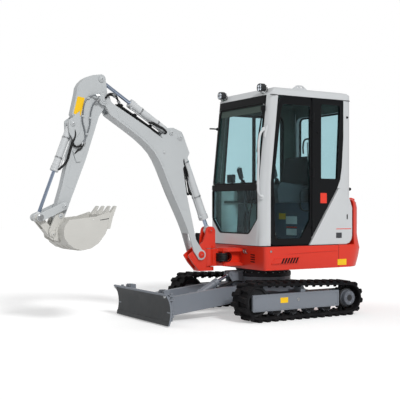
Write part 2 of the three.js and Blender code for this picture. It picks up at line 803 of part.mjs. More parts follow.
function makeSeat() {
  const cushion = side(
    rounded([[-330, 1238, 20], [150, 1238, 40], [150, 1340, 40], [-330, 1310, 20]]).map((p) => v2(p.x - 110, p.y - 20)),
    -190,
    250,
  );
  const back = side(
    rounded([[-470, 1235, 30], [-370, 1250, 30], [-420, 1690, 40], [-525, 1690, 40]]),
    -180,
    240,
  );
  return join(cushion, back);
}

function makeConsoles() {
  const console = (y0, y1) => side(
    rounded([[-420, 1187, 0], [90, 1187, 0], [110, 1330, 40], [60, 1400, 40], [-420, 1340, 40]]),
    y0,
    y1,
  );
  const lever = (y) => join(
    strut([60, y, 1380], [95, y, 1470], 14, 10),
    strut([90, y, 1455], [118, y, 1570], 27, 12),
  );
  return join(
    box(-400, 20, -230, 290, 1186 + GAP, 1216),
    console(-340, -215),
    console(275, 400),
    lever(-280),
    lever(337),
    box(-60, 60, -410, -330, 1187, 1300),
  );
}

function makeTravelLevers() {
  const lever = (y) => join(
    bentBar([[230, y, 774], [240, y, 1000], [200, y, 1200], [215, y, 1330]], 9, 6),
    strut([213, y, 1310], [222, y, 1400], 19, 12),
  );
  const pedal = (y) => side([v2(250, 770), v2(330, 770), v2(320, 860), v2(300, 860)], y - 45, y + 45);
  return join(box(200, 330, -110, 180, 765 + GAP, 784), lever(-10), lever(80), pedal(-70), pedal(140));
}

// ---------------------------------------------------------------- working equipment

function makeSwingBracket() {
  const eye = BOOM_RAM.eye;
  const cheekOutline = rounded([
    [SWING_X - 62, 712, 0],
    [eye.x - 58, eye.z, 0],
    [eye.x - 46, eye.z + 42, 44],
    [eye.x + 46, eye.z + 42, 44],
    [eye.x + 58, 850, 0],
    [812, 775, 30],
    [BOOM_FOOT.x + 44, 712, 30],
    [985, 640, 12],
    [930, 560, 40],
    [850, 474, 20],
    [SWING_X + 46, 474, 0],
    [SWING_X + 46, 712, 0],
  ]);
  const cheek = (sign) => side(cheekOutline, ...span(sign, 36, 58));
  const lug = (z0, z1) => plan([v2(860, 52), ...arc(SWING_X, 0, 66, 90, 270, 10), v2(860, -52)], z0, z1);
  const backPlate = box(SWING_X + 76, SWING_X + 102, -58, 58, 474, 712);
  const boomPin = bar(BOOM_FOOT, 26, -BOOM_HALF - 8, BOOM_HALF + 8);
  const ramPin = bothSides((sign) => bar(eye, 20, ...span(sign, 36, 66)));
  const swingPin = post(SWING_X, 0, 30, 474, 740, 20);
  return join(
    cut(bothSides(cheek), post(SWING_X, 0, 74, 516, 706, 24)),
    lug(474, 512),
    lug(708, 740),
    backPlate,
    boomPin,
    ramPin,
    swingPin,
  );
}

function makeBoom() {
  const top = curve([[905, 800], [926, 882], [1010, 1230], [1046, 1430], [1072, 1560], [1130, 1680],
    [1225, 1782], [1357, 1858]], 13);
  const topRear = curve([[1456, 1922], [1636, 2024], [1825, 2123], [1872, 2160]], 4);
  const under = curve([[1880, 2030], [1768, 1959], [1640, 1880], [1523, 1800], [1414, 1706], [1343, 1608],
    [1277, 1476], [1198, 1300], [1076, 1057], [1012, 920], [972, 810]], 14);
  const outline = [
    ...top,
    ...topRear,
    ...arc(ARM_PIVOT.x, ARM_PIVOT.z, 62, 150, -100, 8),
    ...under,
    v2(930, 680),
    ...arc(BOOM_FOOT.x, BOOM_FOOT.z, 56, -60, -260, 6),
  ];
  const ramPinBase = BOOM_RAM.base;
  const armRamBase = ARM_RAM.base;
  const lugOutline = rounded([
    [1066, 1520, 0],
    [985, 1690, 20],
    [1016, 1762, 0],
    [ramPinBase.x - 44, ramPinBase.z + 10, 20],
    [ramPinBase.x - 20, ramPinBase.z + 54, 30],
    [armRamBase.x - 20, armRamBase.z + 50, 20],
    [armRamBase.x + 46, armRamBase.z + 44, 30],
    [1320, 1850, 0],
    [1180, 1700, 0],
    [1120, 1600, 0],
  ]);
  const beam = cut(
    side(outline, -BOOM_HALF, BOOM_HALF),
    // the foot straddles the swing bracket, the head carries the arm between two cheeks
    side([v2(700, 500), v2(985, 500), v2(1010, 860), v2(700, 980)], -62, 62),
    bar(ARM_PIVOT, 150, -ARM_HALF - 4, ARM_HALF + 4, 22),
    side([v2(900, 1480), v2(1052, 1480), v2(1130, 1690), v2(1170, 1860), v2(900, 1860)], -54, 54),
    bar(armRamBase, 60, -54, 54),
  );
  return cut(
    join(
      beam,
      bothSides((sign) => side(lugOutline, ...span(sign, 54, BOOM_HALF))),
      bar(ramPinBase, 22, -84, 84),
      bar(armRamBase, 20, -84, 84),
      bar(ARM_PIVOT, 28, -BOOM_HALF - 10, BOOM_HALF + 10),
    ),
    eyeHole(BOOM_FOOT, 26, 300),
  );
}

function makeArm() {
  const outline = [
    ...arc(ARM_PIVOT.x, ARM_PIVOT.z, 58, 150, 230, 3),
    v2(1985, 2010),
    v2(2120, 1600),
    v2(2275, 1215),
    ...arc(BUCKET_PIVOT.x, BUCKET_PIVOT.z, 50, 200, 360, 6),
    v2(2408, 1200),
    v2(2368, 1330),
    v2(2324, 1500),
    v2(2278, 1700),
    v2(2232, 1860),
    v2(2234, 1960),
    ...curve([[2262, 2020], [2245, 2095], [2219, 2201], [2200, 2293], [2132, 2368], [2050, 2404]], 9),
    ...arc(ARM_RAM.eye.x, ARM_RAM.eye.z, 46, 70, 185, 5),
  ];
  const eye = ARM_RAM.eye;
  const base = BUCKET_RAM.base;
  const ramLugOutline = rounded([[2250, 1760, 0], [2300, 1850, 20], [base.x + 46, base.z + 30, 30],
    [base.x + 6, base.z + 56, 30], [2190, 2050, 0], [2190, 1850, 0]]);
  const ramLug = (sign) => side(ramLugOutline, ...span(sign, 42, 60));
  // the rod leans through a wide angle as the arm swings, so its end is open on that side
  const rodWay = [
    ...arc(eye.x, eye.z, 92, 104, -106, 9),
    ...arc(eye.x, eye.z, 300, 248, 106, 5),
  ];
  return cut(
    join(
      cut(
        side(outline, -ARM_HALF, ARM_HALF),
        side(rodWay, -33, 33),
        bar(base, 46, -ARM_HALF - 1, ARM_HALF + 1),
      ),
      bothSides(ramLug),
      bothSides((sign) => bar(eye, 20, ...span(sign, 33, ARM_HALF + 8))),
      bar(base, 18, -66, 66),
      bar(BUCKET_PIVOT, 22, -78, 78),
      bar(IDLER_LINK, 20, -96, 96),
    ),
    bar(ARM_PIVOT, 28 + PIN_FIT, -200, 200),
  );
}

function makeBucket() {
  const shellOuter = curve([[1936, 1070], [1985, 920], [2085, 790], [2212, 737], [2340, 764], [2416, 850],
    [2424, 940], [2388, 998]], 11);
  const shellInner = curve([[2374, 988], [2406, 934], [2400, 860], [2332, 780], [2212, 753], [2095, 804],
    [2000, 928], [1954, 1070]], 11);
  const shell = side([...shellOuter, ...shellInner], -BUCKET_HALF, BUCKET_HALF);
  const cheekOutline = [...shellOuter, v2(2374, 1020), v2(2100, 1050), v2(1966, 1092)];
  const cheek = (sign) => side(cheekOutline, ...span(sign, BUCKET_HALF - 12, BUCKET_HALF));
  const toothOutline = [v2(1930, 1050), v2(1888, 1140), v2(1900, 1148), v2(1966, 1066)];
  const teethY = [-200, -67, 67, 200];
  const tooth = (y) => side(toothOutline, y - 24, y + 24);
  const earOutline = rounded([[2404, 800, 0], [2500, 850, 30], [BUCKET_EAR.x + 36, BUCKET_EAR.z + 30, 30],
    [BUCKET_PIVOT.x + 40, BUCKET_PIVOT.z + 36, 36], [BUCKET_PIVOT.x - 42, BUCKET_PIVOT.z + 30, 36],
    [2360, 1000, 0], [2400, 930, 0]]);
  const ear = (sign) => side(earOutline, ...span(sign, 54, 74));
  return cut(
    join(shell, bothSides(cheek), ...teethY.map(tooth), bothSides(ear), bar(BUCKET_EAR, 20, -74, 74)),
    eyeHole(BUCKET_PIVOT, 22, 120),
  );
}

// A flat link with round ends between two pins.
function linkOutline(a, b, radius) {
  const heading = THREE.MathUtils.radToDeg(Math.atan2(b.z - a.z, b.x - a.x));
  return [
    ...arc(a.x, a.z, radius, heading + 90, heading + 270, 6),
    ...arc(b.x, b.z, radius, heading - 90, heading + 90, 6),
  ];
}

function makeIdlerLink(sign) {
  const plate = side(linkOutline(IDLER_LINK, LINK_END, 36), ...span(sign, 80, 94));
  const pinHead = bar(LINK_END, 24, ...span(sign, 94, 102));
  return cut(join(plate, pinHead), eyeHole(IDLER_LINK, 20, 200));
}

// Where the rod's eye lies between the prongs of the push link.
const ROD_SLOT = [v2(2470, 1110), v2(2500, 960), v2(2580, 920), v2(2700, 1000), v2(2660, 1120)];

function makePushLink() {
  const outline = linkOutline(LINK_END, BUCKET_EAR, 33);
  const pinEnds = bothSides((sign) => bar(LINK_END, 20, ...span(sign, 40, 76)));
  return cut(join(side(outline, -48, 48), pinEnds), side(ROD_SLOT, -30, 30), eyeHole(BUCKET_EAR, 20, 60));
}

// ---------------------------------------------------------------- assembly

piece(machine, 'car_body', makeCarBody(), MATERIAL.grey);
piece(machine, 'slew_ring', makeSlewRing(), MATERIAL.iron);
for (const [name, sign] of [['left', 1], ['right', -1]]) {
  piece(machine, `track_frame_${name}`, makeTrackFrame(sign), MATERIAL.grey);
  piece(machine, `track_${name}`, makeTrack(sign), MATERIAL.rubber);
  piece(machine, `idler_${name}`, makeIdler(sign), MATERIAL.iron);
  piece(machine, `sprocket_${name}`, makeSprocket(sign), MATERIAL.iron);
}

const bladeBody = body(machine, 'blade_body', BLADE_PIVOT.x, 0, BLADE_PIVOT.z);
piece(bladeBody, 'blade', makeBlade(), MATERIAL.grey);
addRam(bladeBody, 'blade', BLADE_RAM, { bore: 30, rodR: 18, half: 36, eyeHalf: 30 }, MATERIAL.grey);

const houseBody = body(machine, 'house_body', 0, 0, RING_TOP);
piece(houseBody, 'upper_frame', makeUpperFrame(), MATERIAL.red);
piece(houseBody, 'counterweight', makeCounterweight(), MATERIAL.red);
piece(houseBody, 'engine', makeEngine(), MATERIAL.iron);
piece(houseBody, 'side_cover_left', makeSideCover(), MATERIAL.white);
piece(houseBody, 'side_cover_right', makeRightCover(), MATERIAL.red);
piece(houseBody, 'cab_floor', makeFloor(), MATERIAL.black);
piece(houseBody, 'seat_platform', makeEnginePlatform(), MATERIAL.trim);
piece(houseBody, 'cab_front_frame', makeCabFront(), MATERIAL.white);
piece(houseBody, 'cab_rear_frame', makeCabRear(), MATERIAL.white);
piece(houseBody, 'cab_quarter_panel', makeQuarterPanel(), MATERIAL.black);
piece(houseBody, 'cab_right_wall', makeRightWall(), MATERIAL.white);
piece(houseBody, 'cab_roof', makeRoof(), MATERIAL.white);
piece(houseBody, 'windscreen_upper', makeUpperWindscreen(), MATERIAL.glass);
piece(houseBody, 'windscreen_lower', makeLowerWindscreen(), MATERIAL.glass);
piece(houseBody, 'quarter_window', makeQuarterWindow(), MATERIAL.glass);
piece(houseBody, 'right_window', makeRightWindow(), MATERIAL.glass);
piece(houseBody, 'rear_window', makeRearWindow(), MATERIAL.glass);
piece(houseBody, 'seat', makeSeat(), MATERIAL.seat);
piece(houseBody, 'control_consoles', makeConsoles(), MATERIAL.trim);
piece(houseBody, 'travel_levers', makeTravelLevers(), MATERIAL.black);
piece(houseBody, 'work_lamp_left', makeLamp(375), MATERIAL.lamp);
piece(houseBody, 'work_lamp_right', makeLamp(-365), MATERIAL.lamp);

const doorBody = body(houseBody, 'door_body', DOOR_HINGE.x, DOOR_HINGE.y, 1500);
piece(doorBody, 'door', makeDoor(), MATERIAL.black);
piece(doorBody, 'door_glass', makeDoorGlass(), MATERIAL.glass);

const hoodBody = body(houseBody, 'hood_body', -846, 0, 1236);
piece(hoodBody, 'engine_hood', makeHood(), MATERIAL.red);

const swingBody = body(houseBody, 'swing_body', SWING_X, 0, 612);
piece(swingBody, 'swing_bracket', makeSwingBracket(), MATERIAL.red);

const boomBody = body(swingBody, 'boom_body', BOOM_FOOT.x, 0, BOOM_FOOT.z);
piece(boomBody, 'boom', makeBoom(), MATERIAL.white);
addRam(boomBody, 'boom', BOOM_RAM, { bore: 38, rodR: 20, half: 40, eyeHalf: 32, pinR: 22, eyePinR: 20 },
  MATERIAL.white);

const armBody = body(boomBody, 'arm_body', ARM_PIVOT.x, 0, ARM_PIVOT.z);
piece(armBody, 'arm', makeArm(), MATERIAL.white);
addRam(boomBody, 'arm', ARM_RAM, { bore: 34, rodR: 18, half: 40, eyeHalf: 28, pinR: 20 }, MATERIAL.white);
addRam(armBody, 'bucket', BUCKET_RAM, { bore: 28, rodR: 16, half: 32, eyeHalf: 24, pinR: 18, eyePinR: 20 },
  MATERIAL.white);

const bucketBody = body(armBody, 'bucket_body', BUCKET_PIVOT.x, 0, BUCKET_PIVOT.z);
piece(bucketBody, 'bucket', makeBucket(), MATERIAL.bucket);
const idlerLinkBody = body(armBody, 'idler_link_body', IDLER_LINK.x, 0, IDLER_LINK.z);
piece(idlerLinkBody, 'idler_link_left', makeIdlerLink(1), MATERIAL.white);
piece(idlerLinkBody, 'idler_link_right', makeIdlerLink(-1), MATERIAL.white);
const pushLinkBody = body(bucketBody, 'push_link_body', BUCKET_EAR.x, 0, BUCKET_EAR.z);
piece(pushLinkBody, 'push_link', makePushLink(), MATERIAL.bucket);

// The origin goes to the bottom centre of the whole machine.
machine.updateMatrixWorld(true);
const bounds = new THREE.Box3().setFromObject(machine, true);
machine.position.set(-(bounds.min.x + bounds.max.x) / 2, 0, -bounds.min.z);

export default machine;
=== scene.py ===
import json
import math

import bpy
from mathutils import Matrix, Vector

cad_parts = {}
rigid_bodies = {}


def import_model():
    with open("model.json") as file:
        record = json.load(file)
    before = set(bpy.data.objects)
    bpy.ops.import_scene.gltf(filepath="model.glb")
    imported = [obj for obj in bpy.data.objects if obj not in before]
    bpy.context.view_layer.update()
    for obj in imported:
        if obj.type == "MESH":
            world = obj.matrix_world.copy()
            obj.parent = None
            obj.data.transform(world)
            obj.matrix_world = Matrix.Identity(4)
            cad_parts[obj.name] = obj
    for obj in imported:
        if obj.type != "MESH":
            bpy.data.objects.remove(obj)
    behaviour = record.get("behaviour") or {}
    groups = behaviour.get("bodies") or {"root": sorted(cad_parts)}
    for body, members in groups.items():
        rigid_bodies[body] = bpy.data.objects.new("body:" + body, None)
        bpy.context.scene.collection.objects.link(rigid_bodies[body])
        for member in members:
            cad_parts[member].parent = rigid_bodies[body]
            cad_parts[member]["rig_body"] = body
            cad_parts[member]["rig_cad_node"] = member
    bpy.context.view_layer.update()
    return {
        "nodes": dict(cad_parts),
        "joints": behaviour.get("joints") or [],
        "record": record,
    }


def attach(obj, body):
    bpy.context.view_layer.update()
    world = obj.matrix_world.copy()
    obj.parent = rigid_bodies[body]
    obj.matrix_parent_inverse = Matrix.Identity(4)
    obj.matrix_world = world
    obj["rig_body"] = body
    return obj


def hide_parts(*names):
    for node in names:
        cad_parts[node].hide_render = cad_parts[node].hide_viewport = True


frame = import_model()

MM = 0.001
SLEW_X = next(joint["pos_m"][0] for joint in frame["joints"] if joint["name"] == "slew")
BODY_OF = {node: body for body, nodes in frame["record"]["behaviour"]["bodies"].items() for node in nodes}

# The pins of the working equipment, in millimetres from the slew axis and the ground.
BOOM_FOOT = (844, 645)
ARM_PIVOT = (1941, 2178)
BUCKET_PIVOT = (2391, 1055)
BUCKET_EAR = (2470, 888)
IDLER_PIN = (2355, 1150)
LINK_END = (2597, 1041)
BLADE_PIVOT = (450, 240)
SWING_X = 720
BOOM_RAM = dict(base=(1098, 1847), eye=(717, 892), barrel=900, rod=800, wall=45, rod_r=20, half=40,
                eye_half=32, eye_r=42, rod_eye_r=38)
ARM_RAM = dict(base=(1197, 1889), eye=(1958, 2372), barrel=520, rod=540, wall=41, rod_r=18, half=40,
               eye_half=28, eye_r=38, rod_eye_r=38)
BUCKET_RAM = dict(base=(2258, 1929), eye=LINK_END, barrel=485, rod=500, wall=35, rod_r=16, half=32,
                  eye_half=24, eye_r=34, rod_eye_r=37)
BLADE_RAM = dict(base=(860, 215), eye=(440, 428), barrel=300, rod=312, wall=37, rod_r=18, half=36,
                 eye_half=30, eye_r=34, rod_eye_r=34)

# The wheels of a track (x, z, the belt's outer radius) and its belt.
IDLER = (567, 203, 203)
SPROCKET = (-585, 182, 182)
LUG = 24
BELT = 22
BELT_EDGE = 504
BELT_WIDTH = 242
LUG_COUNT = 34
PANEL_FACE = 715

AHEAD = Vector((1, 0, 0))
LEFT = Vector((0, 1, 0))
UP = Vector((0, 0, 1))
SIDES = (("left", 1), ("right", -1))


def at(x, y, z):
    """A point of the machine, from millimetres to the frame's metres."""
    return Vector((x * MM + SLEW_X, y * MM, z * MM))


def from_frame(point):
    """A point of the frame, in the machine's millimetres."""
    return (point.x - SLEW_X) / MM, point.y / MM, point.z / MM


# ------------------------------------------------------------------ camera, floor and light

def set_up_camera():
    yaw, pitch = math.radians(-120.59), math.radians(-0.478)
    look = Vector((math.cos(yaw) * math.cos(pitch), math.sin(yaw) * math.cos(pitch), math.sin(pitch)))
    bpy.ops.object.camera_add(location=(4.532, 7.2, 1.15))
    camera = bpy.context.object
    camera.rotation_euler = look.to_track_quat("-Z", "Y").to_euler()
    camera.data.sensor_width = 36
    camera.data.lens = 73.25
    camera.data.shift_x = 0.048
    camera.data.shift_y = 0.0315
    camera.data.clip_end = 200
    bpy.context.scene.camera = camera


FLOOR_LIFT = 0.34
SKY_ON_OBJECT = 0.42


def add(nodes, kind, operation=None, **inputs):
    """A shader node, with plain values on its inputs. Underscores stand for spaces."""
    node = nodes.new("ShaderNode" + kind)
    if operation:
        node.operation = operation
    for name, value in inputs.items():
        node.inputs[name.replace("_", " ")].default_value = value
    return node


def seen_directly(nodes, links):
    """1 for the rays that show the surround itself, 0 for those that light or mirror in the machine."""
    path = add(nodes, "LightPath")
    seen = add(nodes, "Math", "MAXIMUM")
    links.new(path.outputs["Is Camera Ray"], seen.inputs[0])
    links.new(path.outputs["Is Transmission Ray"], seen.inputs[1])
    return seen.outputs[0]


def set_up_floor():
    bpy.ops.mesh.primitive_plane_add(size=60, location=(0, 0, 0))
    floor = bpy.context.object
    floor.name = "studio_floor"
    pale = bpy.data.materials.new("pale_floor")
    pale.use_nodes = True
    nodes, links = pale.node_tree.nodes, pale.node_tree.links
    nodes.clear()
    out = add(nodes, "OutputMaterial")
    both = add(nodes, "AddShader")
    matt = add(nodes, "BsdfDiffuse", Color=(0.78, 0.78, 0.78, 1))
    lift = add(nodes, "Emission")
    strength = add(nodes, "Math", "MULTIPLY")
    strength.inputs[1].default_value = FLOOR_LIFT
    links.new(seen_directly(nodes, links), strength.inputs[0])
    links.new(strength.outputs[0], lift.inputs["Strength"])
    links.new(matt.outputs[0], both.inputs[0])
    links.new(lift.outputs[0], both.inputs[1])
    links.new(both.outputs[0], out.inputs["Surface"])
    floor.data.materials.append(pale)


def set_up_light():
    world = bpy.data.worlds.new("studio")
    bpy.context.scene.world = world
    world.use_nodes = True
    nodes, links = world.node_tree.nodes, world.node_tree.links
    sky = nodes["Background"]
    sky.inputs["Color"].default_value = (1, 1, 1, 1)
    strength = add(nodes, "MapRange", To_Min=SKY_ON_OBJECT, To_Max=1.0)
    links.new(seen_directly(nodes, links), strength.inputs["Value"])
    links.new(strength.outputs[0], sky.inputs["Strength"])
    for name, toward, energy, angle in (
        ("key_light", Vector((0.05, 0.78, 0.62)), 1.9, 12),
        ("fill_light", Vector((0.5, -0.5, 0.7)), 0.55, 40),
    ):
        bpy.ops.object.light_add(type="SUN", location=toward.normalized() * 8)
        lamp = bpy.context.object
        lamp.name = name
        lamp.rotation_euler = toward.to_track_quat("Z", "Y").to_euler()
        lamp.data.energy = energy
        lamp.data.angle = math.radians(angle)
    bpy.context.scene.view_settings.view_transform = "Standard"


# ------------------------------------------------------------------ finishes

def linear(red, green, blue):
    """A colour as it is named on a paint card, from 0 to 255, as the shaders read it."""
    def channel(value):
        value /= 255
        return value / 12.92 if value <= 0.04045 else ((value + 0.055) / 1.055) ** 2.4
    return channel(red), channel(green), channel(blue), 1.0


def new_group(name, inputs, outputs):
    group = bpy.data.node_groups.new(name, "ShaderNodeTree")
    for label, kind in inputs:
        group.interface.new_socket(name=label, in_out="INPUT", socket_type=kind)
    for label, kind in outputs:
        group.interface.new_socket(name=label, in_out="OUTPUT", socket_type=kind)
    return group, group.nodes.new("NodeGroupInput"), group.nodes.new("NodeGroupOutput")


def make_mottle():
    """Broad, soft differences in a coat of paint or a moulding."""
    group, given, result = new_group(
        "mottle",
        [("Colour", "NodeSocketColor"), ("Amount", "NodeSocketFloat"), ("Scale", "NodeSocketFloat")],
        [("Colour", "NodeSocketColor"), ("Mask", "NodeSocketFloat")],
    )
    nodes, links = group.nodes, group.links
    place = add(nodes, "TexCoord")
    cloud = add(nodes, "TexNoise", Detail=5)
    spread = add(nodes, "MapRange", From_Min=0.3, From_Max=0.7, To_Min=-1)
    gain = add(nodes, "Math", "MULTIPLY_ADD")
    gain.inputs[2].default_value = 1
    tone = add(nodes, "HueSaturation")
    links.new(place.outputs["Object"], cloud.inputs["Vector"])
    links.new(given.outputs["Scale"], cloud.inputs["Scale"])
    links.new(cloud.outputs["Fac"], spread.inputs["Value"])
    links.new(spread.outputs[0], gain.inputs[0])
    links.new(given.outputs["Amount"], gain.inputs[1])
    links.new(gain.outputs[0], tone.inputs["Value"])
    links.new(given.outputs["Colour"], tone.inputs["Color"])
    links.new(tone.outputs[0], result.inputs["Colour"])
    links.new(cloud.outputs["Fac"], result.inputs["Mask"])
    return group


def make_dust():
    """Dust that settles on upward faces and low down."""
    group, given, result = new_group("settled_dust", [("Amount", "NodeSocketFloat")],
                                     [("Mask", "NodeSocketFloat")])
    nodes, links = group.nodes, group.links
    place = add(nodes, "TexCoord")
    surface = add(nodes, "NewGeometry")
    facing = add(nodes, "SeparateXYZ")
    height = add(nodes, "SeparateXYZ")
    upward = add(nodes, "MapRange", From_Min=0.2, From_Max=1.0)
    low = add(nodes, "MapRange", From_Min=0.5, From_Max=0.0, To_Max=0.7)
    most = add(nodes, "Math", "MAXIMUM")
    patches = add(nodes, "TexNoise", Scale=14, Detail=8, Roughness=0.65)
    thin = add(nodes, "MapRange", From_Min=0.35, From_Max=0.75)
    lay = add(nodes, "Math", "MULTIPLY")
    amount = add(nodes, "Math", "MULTIPLY")
    links.new(surface.outputs["Normal"], facing.inputs[0])
    links.new(facing.outputs["Z"], upward.inputs["Value"])
    links.new(place.outputs["Object"], height.inputs[0])
    links.new(height.outputs["Z"], low.inputs["Value"])
    links.new(upward.outputs[0], most.inputs[0])
    links.new(low.outputs[0], most.inputs[1])
    links.new(place.outputs["Object"], patches.inputs["Vector"])
    links.new(patches.outputs["Fac"], thin.inputs["Value"])
    links.new(most.outputs[0], lay.inputs[0])
    links.new(thin.outputs[0], lay.inputs[1])
    links.new(lay.outputs[0], amount.inputs[0])
    links.new(given.outputs["Amount"], amount.inputs[1])
    links.new(amount.outputs[0], result.inputs["Mask"])
    return group


def make_grain():
    """The fine relief of a moulding, a casting or sprayed paint, with a roughness that follows it."""
    group, given, result = new_group(
        "fine_grain",
        [("Scale", "NodeSocketFloat"), ("Roughness", "NodeSocketFloat"), ("Spread", "NodeSocketFloat"),
         ("Dust", "NodeSocketFloat")],
        [("Height", "NodeSocketFloat"), ("Roughness", "NodeSocketFloat")],
    )
    nodes, links = group.nodes, group.links
    place = add(nodes, "TexCoord")
    fine = add(nodes, "TexNoise", Detail=3)
    broad = add(nodes, "TexNoise", Scale=9, Detail=6)
    swing = add(nodes, "Math", "SUBTRACT")
    swing.inputs[1].default_value = 0.5
    rough = add(nodes, "Math", "MULTIPLY_ADD")
    dusty = add(nodes, "Math", "MULTIPLY_ADD")
    dusty.inputs[1].default_value = 0.4
    dusty.use_clamp = True
    links.new(place.outputs["Object"], fine.inputs["Vector"])
    links.new(given.outputs["Scale"], fine.inputs["Scale"])
    links.new(place.outputs["Object"], broad.inputs["Vector"])
    links.new(broad.outputs["Fac"], swing.inputs[0])
    links.new(swing.outputs[0], rough.inputs[0])
    links.new(given.outputs["Spread"], rough.inputs[1])
    links.new(given.outputs["Roughness"], rough.inputs[2])
    links.new(given.outputs["Dust"], dusty.inputs[0])
    links.new(rough.outputs[0], dusty.inputs[2])
    links.new(fine.outputs["Fac"], result.inputs["Height"])
    links.new(dusty.outputs[0], result.inputs["Roughness"])
    return group


MOTTLE, DUST, GRAIN = make_mottle(), make_dust(), make_grain()
DUST_COLOUR = (0.36, 0.33, 0.29, 1)
MIX_FIRST, MIX_SECOND, MIX_RESULT = 6, 7, 2


def new_finish(name):
    """A material, with its nodes, its links and its Principled shader."""
    finish = bpy.data.materials.new(name)
    finish.use_nodes = True
    nodes = finish.node_tree.nodes
    return finish, nodes, finish.node_tree.links, nodes["Principled BSDF"]


def add_group(nodes, group, **inputs):
    """A shared effect placed in a material, with this material's own values."""
    node = nodes.new("ShaderNodeGroup")
    node.node_tree = group
    for name, value in inputs.items():
        node.inputs[name].default_value = value
    return node


def make_finish(name, colour, roughness, metallic=0.0, coat=0.0, mottle=0.03, mottle_scale=2.5, dust=0.0,
                grain=400, relief=0.0001, strength=0.35, spread=0.12, shine=0.5):
    """A finish built from the shared effects: colour, settled dust, grain and varied gloss."""
    finish, nodes, links, shader = new_finish(name)
    shader.inputs["Metallic"].default_value = metallic
    shader.inputs["Coat Weight"].default_value = coat
    shader.inputs["Coat Roughness"].default_value = 0.08
    shader.inputs["Specular IOR Level"].default_value = shine
    tone = add_group(nodes, MOTTLE, Colour=colour, Amount=mottle, Scale=mottle_scale)
    settled = add_group(nodes, DUST, Amount=dust)
    fine = add_group(nodes, GRAIN, Scale=grain, Roughness=roughness, Spread=spread)
    dusted = nodes.new("ShaderNodeMix")
    dusted.data_type = "RGBA"
    dusted.inputs[MIX_SECOND].default_value = DUST_COLOUR
    bump = add(nodes, "Bump", Strength=strength, Distance=relief)
    links.new(settled.outputs["Mask"], dusted.inputs[0])
    links.new(tone.outputs["Colour"], dusted.inputs[MIX_FIRST])
    links.new(dusted.outputs[MIX_RESULT], shader.inputs["Base Color"])
    links.new(settled.outputs["Mask"], fine.inputs["Dust"])
    links.new(fine.outputs["Roughness"], shader.inputs["Roughness"])
    links.new(fine.outputs["Height"], bump.inputs["Height"])
    links.new(bump.outputs[0], shader.inputs["Normal"])
    return finish


def make_glass(name, tint, roughness=0.0):
    """Clear glass with a faint film, that lets the lamps' light through."""
    finish, nodes, links, shader = new_finish(name)
    shader.inputs["Transmission Weight"].default_value = 1
    shader.inputs["IOR"].default_value = 1.2
    film = add_group(nodes, MOTTLE, Colour=tint, Amount=0.02, Scale=1.2)
    smear = add(nodes, "MapRange", From_Min=0.5, From_Max=0.9, To_Min=roughness, To_Max=roughness + 0.03)
    clear = add(nodes, "BsdfTransparent", Color=tint)
    path = add(nodes, "LightPath")
    blend = add(nodes, "MixShader")
    links.new(film.outputs["Colour"], shader.inputs["Base Color"])
    links.new(film.outputs["Mask"], smear.inputs["Value"])
    links.new(smear.outputs[0], shader.inputs["Roughness"])
    links.new(path.outputs["Is Shadow Ray"], blend.inputs[0])
    links.new(shader.outputs[0], blend.inputs[1])
    links.new(clear.outputs[0], blend.inputs[2])
    links.new(blend.outputs[0], nodes["Material Output"].inputs["Surface"])
    return finish


RED = make_finish("red_enamel", linear(222, 48, 24), 0.34, coat=0.15, dust=0.03, mottle=0.035, grain=260)
WHITE = make_finish("white_enamel", linear(203, 206, 208), 0.36, coat=0.2, dust=0.06, mottle=0.02, grain=260)
BOOM_WHITE = make_finish("boom_enamel", linear(190, 194, 196), 0.4, coat=0.15, dust=0.08,
                         mottle=0.03, grain=220)
BUCKET_WHITE = make_finish("bucket_enamel", linear(200, 199, 194), 0.5, dust=0.12, mottle=0.05, grain=150)
GREY = make_finish("grey_enamel", linear(122, 128, 137), 0.42, coat=0.12, dust=0.1, mottle=0.04, grain=240)
# The blade's front faces and cutting edge: the blade's own grey paint, darkened as painted shade.
BLADE_FRONT_SHADE = make_finish("blade_front_painted_shade", linear(56, 59, 62), 0.55, dust=0.06, mottle=0.1, mottle_scale=6,
                         grain=130, spread=0.2)
BLACK = make_finish("black_enamel", linear(11, 13, 16), 0.4, dust=0.02, mottle=0.08, grain=300, shine=0.2)
RUBBER = make_finish("track_rubber", linear(13, 13, 17), 0.8, dust=0.05, shine=0.2, mottle=0.18,
                     mottle_scale=8, grain=160, relief=0.0006, strength=0.6)
SEAL = make_finish("seal_rubber", linear(11, 12, 15), 0.62, mottle=0.1, shine=0.25, grain=500, relief=0.0002)
HOSE = make_finish("hose_rubber", linear(18, 19, 21), 0.55, shine=0.35, mottle=0.12, grain=700, relief=0.0004,
                   strength=0.7, dust=0.08)
IRON = make_finish("dark_casting", linear(44, 46, 50), 0.6, metallic=0.3, dust=0.12, mottle=0.15,
                   mottle_scale=7, grain=180, relief=0.0005, strength=0.5)
CHROME = make_finish("hard_chrome", linear(178, 192, 214), 0.1, metallic=1.0, mottle=0.02, grain=900,
                     relief=0.00002, strength=0.15, spread=0.06)
DRIVE_GREY = make_finish("drive_grey", linear(92, 97, 106), 0.5, dust=0.12, mottle=0.08, grain=220)
STEEL = make_finish("zinc_steel", linear(168, 170, 172), 0.34, metallic=0.9, mottle=0.1,
                    mottle_scale=20, grain=500)
PIPE = make_finish("pipe_steel", linear(128, 132, 136), 0.38, metallic=0.5, mottle=0.08,
                   mottle_scale=10, grain=500)
VINYL = make_finish("seat_vinyl", linear(12, 13, 15), 0.66, shine=0.25, mottle=0.12, grain=650, relief=0.0006,
                    strength=0.8)
TRIM = make_finish("grey_green_trim", linear(212, 226, 221), 0.72, mottle=0.05, grain=800, relief=0.0003,
                   strength=0.6)
DARK_TRIM = make_finish("dark_trim", linear(76, 90, 84), 0.75, mottle=0.08, shine=0.3, grain=800,
                        relief=0.0003, strength=0.6)
CONSOLE = make_finish("console_plastic", linear(40, 43, 47), 0.6, mottle=0.08, grain=900, relief=0.0003,
                      strength=0.6)
BASE_BLUE = make_finish("seat_base_grey", linear(78, 92, 110), 0.5, mottle=0.06, grain=400)
